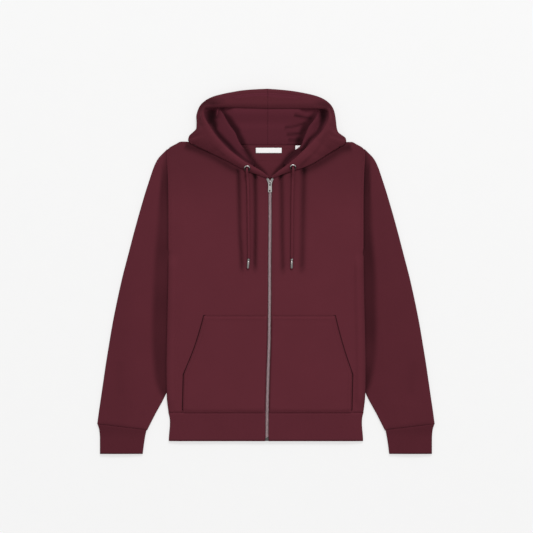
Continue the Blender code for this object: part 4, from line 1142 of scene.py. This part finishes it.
def hood_face(side, row, where, step, by_share=False):
    """The middle of the hood's outer cloth at a distance or share from its rim, and its normal."""
    values = hood_rows(side)

    def point(at_row, at):
        top = np.array(hood_section(values(at_row), at_row)[:TOP_POINTS])
        key = np.linspace(0, 1, TOP_POINTS) if by_share else lengths(top)
        return point_at(top, key, at)

    along = point(row + 0.1, where) - point(row - 0.1, where)
    over = point(row, where + step) - point(row, max(where - step, 0))
    normal = unit(np.cross(along, over))
    return point(row, where), normal * np.sign(normal[2])


def eyelet_seat(side):
    """The point and the upward normal of the middle of the hood's cloth at the eyelet."""
    return hood_face(side, *EYELET_PLACES[side], 0.05, by_share=True)


def cord_line(side):
    """The cord's own line, from its eyelet to its tip."""
    point, normal = eyelet_seat(side)
    start = [point + normal * (WALL / 2 + SEAM_GAP), point + normal * (WALL / 2 + 3.6)]
    return trace(np.vstack([start, CORD_ROUTES[side]]), 110)


def tube(name, line, radii, surface, sides=16):
    """A round closed tube along a line, with a radius at each point and texture coordinates."""
    line = np.asarray(line, float)
    ahead = np.gradient(line, axis=0)
    ahead /= np.linalg.norm(ahead, axis=1, keepdims=True)
    shape = bmesh.new()
    layer = shape.loops.layers.uv.new("UVMap")
    turns = 2 * math.pi * np.arange(sides + 1) / sides
    rings = []
    for point, direction, radius in zip(line, ahead, radii):
        upright = abs(direction[2]) >= 0.95
        sideways = np.array((1.0, 0, 0)) if upright else np.cross(direction, (0, 0, 1))
        sideways = unit(sideways - direction * np.dot(sideways, direction))
        upwards = np.cross(sideways, direction)
        ring_points = []
        for turn in turns[:-1]:
            place = point + radius * (math.cos(turn) * sideways + math.sin(turn) * upwards)
            ring_points.append(shape.verts.new(place * MM))
        rings.append(ring_points)
    for face, i, j in join(shape, rings):
        map_face(face, layer, i, j, turns * max(radii) * MM, lengths(line) * MM)
    bmesh.ops.recalc_face_normals(shape, faces=shape.faces)
    return built(name, shape, surface)


def make_cord(name, side):
    line = cord_line(side)
    made = tube(name, line, np.full(len(line), CORD_DIAMETER / 2), BRAID)
    return made


def make_tip(name, side):
    """A metal sleeve crimped on the cord's end, with a lip at its mouth and a rounded end."""
    end, tip = np.array(CORD_ROUTES[side][-1]), np.array(TIP_ENDS[side])
    direction = unit(tip - end)
    length = np.linalg.norm(tip - end) - 2 * SEAM_GAP
    lip = ((0, 2.9), (0.3, 3.3), (1.6, 3.3), (1.9, 2.95))
    crimp = ((4.2, 2.95), (4.5, 2.7), (5.3, 2.7), (5.6, 2.95))
    round_end = ((-2.6, 2.95), (-1.0, 2.6), (-0.25, 1.7), (0, 0.6))
    profile = (*lip, *crimp, *((length + along, radius) for along, radius in round_end))
    line = [end + direction * (2 * SEAM_GAP + along) for along, _ in profile]
    return tube(name, line, [radius for _, radius in profile], TIP_METAL, 24)


def make_eyelet(name, side):
    """A rolled metal ring on the hood's cloth, with painted shade inside it and on its lower half."""
    point, normal = eyelet_seat(side)
    place = point + normal * (WALL / 2 + 0.1)
    profile = [(3.3, 0.1), (4.4, 0.3), (4.5, 1.0)]
    for turn in np.radians(np.linspace(150, 20, 7)):
        profile.append((6.15 + 1.5 * math.cos(turn), 0.5 + 1.35 * math.sin(turn)))
    profile.append((7.8, 0.1))
    shape = bmesh.new()
    steps = 40
    toward = Vector((0, 0, 1)).rotation_difference(Vector(normal)).to_matrix()
    painted_shade = shape.verts.layers.float.new("painted_shade")
    rings = []
    for i in range(steps):
        turn = 2 * math.pi * i / steps
        ring_points = []
        for radius, height in profile:
            local = Vector((radius * math.cos(turn), radius * math.sin(turn), height))
            vert = shape.verts.new((Vector(place) + toward @ local) * MM)
            # painted shade: nearly black inside the ring and darker toward its lower half
            vert[painted_shade] = 0.97 if radius < 4.6 else 0.9 * smooth((0.75 - math.sin(turn)) / 0.7)
            ring_points.append(vert)
        rings.append(ring_points)
    for i in range(steps):
        k = (i + 1) % steps
        for j in range(len(profile)):
            n = (j + 1) % len(profile)
            shape.faces.new((rings[i][j], rings[k][j], rings[k][n], rings[i][n]))
    bmesh.ops.recalc_face_normals(shape, faces=shape.faces)
    return built(name, shape, NICKEL)


def bevelled(name, outline, low, high, surface, width, body=GARMENT, holes=()):
    """A flat outline of points x and y with depth, rounded edges and round holes."""
    data = bpy.data.curves.new(name, "CURVE")
    data.dimensions = "2D"
    data.fill_mode = "BOTH"
    data.extrude = ((high - low) / 2 - width) * MM
    data.bevel_depth = width * MM
    data.bevel_resolution = 2
    data.offset = -width * MM
    for points in (outline, *holes):
        line = data.splines.new("POLY")
        line.points.add(len(points) - 1)
        for at, (x, y) in zip(line.points, points):
            at.co = (x * MM, y * MM, 0, 1)
        line.use_cyclic_u = True
    guide = bpy.data.objects.new(name + "_outline", data)
    bpy.context.scene.collection.objects.link(guide)
    guide.location.z = (low + high) / 2 * MM
    bpy.context.view_layer.update()
    graph = bpy.context.evaluated_depsgraph_get()
    mesh = bpy.data.meshes.new_from_object(guide.evaluated_get(graph))
    mesh.transform(guide.matrix_world)
    bpy.data.objects.remove(guide)
    welded = bmesh.new()
    welded.from_mesh(mesh)
    bmesh.ops.remove_doubles(welded, verts=welded.verts, dist=0.005 * MM)
    bmesh.ops.recalc_face_normals(welded, faces=welded.faces)
    welded.to_mesh(mesh)
    welded.free()
    mesh.materials.clear()
    mesh.shade_smooth()
    mesh.set_sharp_from_angle(angle=math.radians(35))
    return finish(name, mesh, surface, body)


def circle(x, y, radius, count=24):
    turns = [2 * math.pi * i / count for i in range(count)]
    return [(x + radius * math.cos(turn), y + radius * math.sin(turn)) for turn in turns]


def rounded(points, radius):
    """A polygon with its corners rounded off."""
    made = []
    count = len(points)
    for i, corner in enumerate(points):
        before = np.array(points[i - 1]) - corner
        after = np.array(points[(i + 1) % count]) - corner
        start, end = corner + unit(before) * radius, corner + unit(after) * radius
        for t in np.linspace(0, 1, 5):
            point = (1 - t) ** 2 * start + 2 * t * (1 - t) * np.array(corner) + t**2 * end
            made.append(tuple(point))
    return made


def make_teeth():
    """Two rows of interlocked teeth down the zip's centre line."""
    pitch, reach, inner, half_y, low, high = 2.7, 3.4, 0.9, 0.66, 5.0, 8.0
    first_y, last_y = -397.6, SLIDER_Y - 4.0
    shape = bmesh.new()
    for count, y in enumerate(np.arange(first_y, last_y, pitch / 2)):
        side = 1 if count % 2 else -1
        x = float(zip_x(y)[0])
        outline = ((reach, 0.8), (1.6, 1.0), (0.5, 0.62), (-inner, 1.0))
        rings = []
        for across, thick in outline:
            middle = x + side * across
            half = half_y * thick
            rise = 0.35 if across < 0.6 else 0.0
            top, shoulder = high - rise, high - 0.5 - rise
            corners = ((-half, low), (half, low), (half, shoulder), (half * 0.55, top))
            corners += ((-half * 0.55, top), (-half, shoulder))
            places = [(middle * MM, (y + dy) * MM, z * MM) for dy, z in corners]
            rings.append([shape.verts.new(place) for place in places])
        join(shape, rings)
    bmesh.ops.recalc_face_normals(shape, faces=shape.faces)
    return built("zip_teeth", shape, TEETH, shaded_smooth=False)


def make_slider():
    """The slider's plate, core and arch, and the stops at the top of the zip."""
    x = float(zip_x(SLIDER_Y)[0])
    outline = ((x - 4.6, 208.2), (x + 4.6, 208.2), (x + 5.6, 213.5), (x + 8.8, 221.6))
    outline += ((x + 3.2, 222.2), (x, 217.5), (x - 3.2, 222.2), (x - 8.8, 221.6), (x - 5.6, 213.5))
    plate = bevelled("slider_plate", rounded(outline, 1.0), 8.3, SLIDER_TOP, SLIDER_METAL, 0.4)
    inner = ((x - 3.5, 208.4), (x + 3.5, 208.4), (x + 3.5, 219.0), (x - 3.5, 219.0))
    bevelled("slider_core", rounded(inner, 0.8), 5.6, 8.4, DARK_METAL, 0.3)
    turns = np.radians(np.linspace(0, 180, 17))
    arch = [(x, SLIDER_Y - 4.0 * math.cos(turn), 9.8 + 3.8 * math.sin(turn)) for turn in turns]
    tube("slider_arch", arch, np.full(17, 1.15), SLIDER_METAL, 12)
    for side in (-1, 1):
        stop = circle(x + side * 6.4, 224.4, 1.3, 14)
        bevelled("top_stop_" + ("left" if side > 0 else "right"), stop, 6.0, 9.4, NICKEL, 0.3)
    return plate


def make_pull_tab():
    """The tab, with a window for the arch and two round holes over black discs painted as shadow."""
    x = float(zip_x(SLIDER_Y)[0])
    pivot = Vector((x, SLIDER_Y, SLIDER_TOP + PIVOT_RISE)) * MM
    outline = ((-3.6, 0.9), (3.6, 0.9), (4.2, -6.0), (4.6, -25.0), (-4.6, -25.0), (-4.2, -6.0))
    window = ((-2.2, -0.9), (2.2, -0.9), (2.4, -4.6), (-2.4, -4.6))
    holes = [rounded(window, 0.5)] + [circle(*at, radius, 16) for *at, radius in TAB_HOLES]
    tab = bevelled("tab", rounded(outline, 1.6), -0.6, 0.6, NICKEL, 0.25, "pull_tab", holes)
    made = [tab]
    # a black disc under each hole, a painted shadow of what lies below the tab
    for i, (*at, radius) in enumerate(TAB_HOLES):
        hole_shadow = circle(*at, radius + 0.5, 16)
        made.append(bevelled(f"tab_bed_{i}", hole_shadow, -0.7, -0.3, HOLE_SHADOW_METAL, 0.1, "pull_tab"))
    droop = Matrix.Rotation(math.radians(5.0), 4, "X")
    for piece in made:
        piece.data.transform(Matrix.Translation(pivot) @ droop)
    return tab


def make_foot():
    """The box at the foot of the zip."""
    x = float(zip_x(HEM_Y)[0])
    outline = ((x - 3.6, -407.0), (x + 3.6, -407.0), (x + 3.6, -398.6), (x - 3.6, -398.6))
    return bevelled("zip_foot", rounded(outline, 0.9), 5.4, 8.6, DARK_METAL, 0.4)


def make_label(name, box):
    """A woven label with folded ends, lying on the back of the neck."""
    low, high = (np.array(corner) / MM for corner in box)
    width = high[0] - low[0]
    x = np.linspace(low[0], high[0], 32)
    y = np.linspace(low[1] + 0.7, high[1] - 0.7, 9)
    xs, ys = np.meshgrid(x, y)
    fold = 0.25 * np.exp(-(((width / 2 - np.abs(xs - xs.mean())) - 3.0) / 1.2) ** 2)
    z = np.full_like(xs, low[2] + 0.5) + 0.12 * np.sin(xs / 7) * np.sin(ys / 5) - fold
    return cloth(name, np.dstack([xs, ys, z]), 0.6, LABEL)


# A stitch from end to end: the share of its length, its width and its height above the cloth
STITCH_PROFILE = ((0, 0.3, -0.25), (0.3, 1.0, 0.15), (0.7, 1.0, 0.15), (1, 0.3, -0.25))
STITCH_PITCH = 3.1
STITCH_LENGTH = 2.3
STITCH_RADIUS = 0.32


def stitches(name, lines):
    """Rows of single stitches along lines, each a slim thread end that dips at both ends."""
    shape = bmesh.new()
    for line, normals in lines:
        line, normals = np.asarray(line, float), np.asarray(normals, float)
        key = lengths(line)
        for start in np.arange(0.4, key[-1] - STITCH_LENGTH, STITCH_PITCH):
            rings = []
            for share, width, height in STITCH_PROFILE:
                at = start + share * STITCH_LENGTH
                normal = unit(point_at(normals, key, at))
                ahead = point_at(line, key, at + 0.4) - point_at(line, key, at - 0.4)
                ahead /= np.linalg.norm(ahead) + 1e-9
                sideways = np.cross(ahead, normal)
                middle = point_at(line, key, at) + normal * height
                ring_points = []
                for turn in np.radians((0, 72, 144, 216, 288)):
                    offset = math.cos(turn) * sideways * 1.25 + math.sin(turn) * normal
                    place = middle + offset * STITCH_RADIUS * width
                    ring_points.append(shape.verts.new(place * MM))
                rings.append(ring_points)
            join(shape, rings)
    bmesh.ops.recalc_face_normals(shape, faces=shape.faces)
    return built(name, shape, THREAD)


def on_body(points, raised=0.0):
    """A line on the outer face of the fronts or the hem, with its upward normals."""
    points = np.asarray(points, float)
    z = front_top(points[:, 0], points[:, 1]) + front_relief(points[:, 0], points[:, 1]) + raised
    normals = np.tile((0.0, 0.0, 1.0), (len(points), 1))
    return np.column_stack([points, z]), normals


def on_hood(side, distance, first_row):
    """Lines on the hood's outer face at a distance from its rim, where it is wide enough."""
    values = hood_rows(side)
    runs = [[]]
    for row in np.linspace(first_row, 11.95, 110):
        rim, edge = plan_points(values(row), "rim", "edge")
        if np.linalg.norm(edge - rim) > distance + 12:
            middle, normal = hood_face(side, row, distance, 1.5)
            runs[-1].append((middle + normal * WALL / 2, normal))
        elif runs[-1]:
            runs.append([])
    lines = []
    for run in runs:
        if len(run) < 6:
            continue
        line, normals = (np.array(part) for part in zip(*run))
        line[:, 2] += hood_relief(line[:, 0], line[:, 1])
        lines.append((line, normals))
    return lines


def seam_lines():
    """Where the stitches of the fronts, the pocket, the hem, the armholes and the hood run."""
    lines = []
    on_pocket = SEAM_GAP + WALL

    def sew(x, y, raised=0.0):
        lines.append(on_body(np.column_stack(np.broadcast_arrays(x, y)), raised))

    for side in (-1, 1):
        y = np.linspace(-336, 216, 160)
        sew(zip_x(y) + side * 10.4, y)
        x = np.linspace(8, 226, 90)
        for above_seam in (2.4, 5.2):
            raised = np.where(x < POCKET_SIDE - 3, on_pocket, 0)
            sew(side * x + 3, HEM_SEAM_Y + above_seam, raised)
        for inset in POCKET_STITCHES:
            y = np.linspace(POCKET_CORNER_Y - 88, POCKET_TOP_Y - inset, 90)
            sew(zip_x(y) + side * (pocket_reach(y) - inset * 1.02), y, on_pocket)
        for inset in POCKET_STITCHES:
            x = np.linspace(12, POCKET_TOP - 3, 60)
            sew(zip_x(POCKET_TOP_Y) + side * x, POCKET_TOP_Y - inset, on_pocket)
        for y in (221.6, 216.2):
            sew(ZIP_TOP_X + side * np.linspace(10.8, 30.0, 24), y)
        y = np.linspace(60, 284, 70)
        for inset in (3.6, 6.2):
            sew(side * (side_x(y) - WALL / 2 - inset), y)
        for from_rim, first_row in ((19.0, 1.9), (3.6, 0.6)):
            lines += on_hood(side, from_rim, first_row)
    return lines


def neck_lines():
    """Stitches at the back of the neck: the seam's tape and the half moon below it."""
    x = np.linspace(-60, 66, 60)
    turns = np.radians(np.linspace(200, 340, 60))
    rows = [(x, back_neck_y(x) - 2.6), (x, back_neck_y(x) - 9.0)]
    rows.append((4 + 62 * np.cos(turns), 296 + 30 * np.sin(turns)))
    height, upwards = np.full(60, WALL + 0.1), np.tile((0.0, 0.0, 1.0), (60, 1))
    return [(np.column_stack([*row, height]), upwards) for row in rows]


def sheet(piece, lies_on=(), with_pieces=()):
    """Turns what a piece lies on and the pieces that go with it into lists, and does nothing more."""
    rests_on, with_pieces = list(lies_on), list(with_pieces)


def make_camera():
    """The camera looks straight down at the garment."""
    data = bpy.data.cameras.new("camera")
    data.lens = 112.6
    data.sensor_width = 36
    data.clip_end = 20
    camera = bpy.data.objects.new("camera", data)
    camera.location = (0.0013, 0.0116, 4.008)
    bpy.context.scene.collection.objects.link(camera)
    bpy.context.scene.camera = camera


def make_light(name, place, target, size, power):
    data = bpy.data.lights.new(name, "AREA")
    data.shape = "RECTANGLE"
    data.size, data.size_y = size
    data.energy = power
    light = bpy.data.objects.new(name, data)
    light.location = place
    toward = Vector(target) - Vector(place)
    light.rotation_euler = toward.to_track_quat("-Z", "Y").to_euler()
    bpy.context.scene.collection.objects.link(light)


def make_studio():
    scene = bpy.context.scene
    scene.view_settings.view_transform = "Standard"
    scene.view_settings.look = "None"
    scene.view_settings.exposure = 0
    scene.view_settings.gamma = 1
    world = bpy.data.worlds.new("studio")
    scene.world = world
    world.use_nodes = True
    world.node_tree.nodes["Background"].inputs["Color"].default_value = (1, 0.995, 0.99, 1)
    world.node_tree.nodes["Background"].inputs["Strength"].default_value = 0.6
    mesh = bpy.data.meshes.new("floor")
    shape = bmesh.new()
    bmesh.ops.create_grid(shape, x_segments=8, y_segments=8, size=6)
    shape.to_mesh(mesh)
    shape.free()
    floor = bpy.data.objects.new("floor", mesh)
    floor.location.z = -0.0005
    scene.collection.objects.link(floor)
    paper, tree, shader, place = node_tree("pale_paper")
    grain = noise(tree, place, 40, detail=3.0)
    tone = plus(tree, times(tree, grain, 0.01), 0.315)
    tinted = add(tree, "ShaderNodeCombineColor", {"Red": tone, "Green": tone, "Blue": tone})
    tree.links.new(tinted.outputs[0], shader.inputs["Base Color"])
    shader.inputs["Emission Color"].default_value = (1, 1, 1, 1)
    shader.inputs["Emission Strength"].default_value = 0.62
    shader.inputs["Roughness"].default_value = 0.95
    shader.inputs["Specular IOR Level"].default_value = 0.1
    mesh.materials.append(paper)
    make_light("key", (1.5, 6.2, 6.4), (0, 0, 0), (2.8, 2.8), 420)


def stands_for(piece, node):
    """The piece, with the CAD node that it replaces hidden."""
    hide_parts(node)
    return piece


make_camera()
SIDES = ((-1, "right"), (1, "left"))
tips = {side: make_tip("tip_" + word, side) for side, word in SIDES}
for side, word in SIDES:
    stands_for(make_cord("drawcord_" + word, side), "cord_" + word)
    stands_for(tips[side], "cord_tip_" + word)

sheet(stands_for(make_back(), "back"))
sheet(stands_for(make_hem_band(), "hem_band"))
for side, word in SIDES:
    front = stands_for(make_front("panel_" + word, side), "front_" + word)
    sleeve = stands_for(make_sleeve("arm_" + word, side), "sleeve_" + word)
    cuff = stands_for(make_cuff("cuff_rib_" + word, side), "cuff_" + word)
    pocket = stands_for(make_pocket("pouch_" + word, side), "pocket_" + word)
    mouth = make_mouth("pouch_mouth_" + word, side)
    hood = stands_for(make_hood("hood_outer_" + word, side), "hood_" + word)
    lining = make_lining("hood_inner_" + word, side)
    stands_for(lining, "hood_lining_" + word)
    stands_for(make_eyelet("eyelet_ring_" + word, side), "eyelet_" + word)
    sheet(front, ["back"])
    sheet(sleeve)
    sheet(cuff)
    sheet(pocket, ["front_" + word], [mouth])
    sheet(hood, ["back", "front_" + word])
    sheet(lining, ["hood_" + word])

stands_for(make_teeth(), "zip_chain")
stands_for(make_slider(), "zip_slider")
stands_for(make_pull_tab(), "pull_tab")
stands_for(make_foot(), "zip_box")
neck_label = stands_for(make_label("label_neck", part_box("neck_label")), "neck_label")
size_label = stands_for(make_label("label_size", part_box("size_label")), "size_label")
sheet(neck_label, ["back"])
sheet(size_label, ["back"])
for word in ("left", "right"):
    tape = bpy.data.objects["zip_tape_" + word]
    tape.data.materials.clear()
    tape.data.materials.append(TAPE)
stitches("seam_stitches", seam_lines())
stitches("neck_stitches", neck_lines())

make_studio()
bpy.context.view_layer.update()
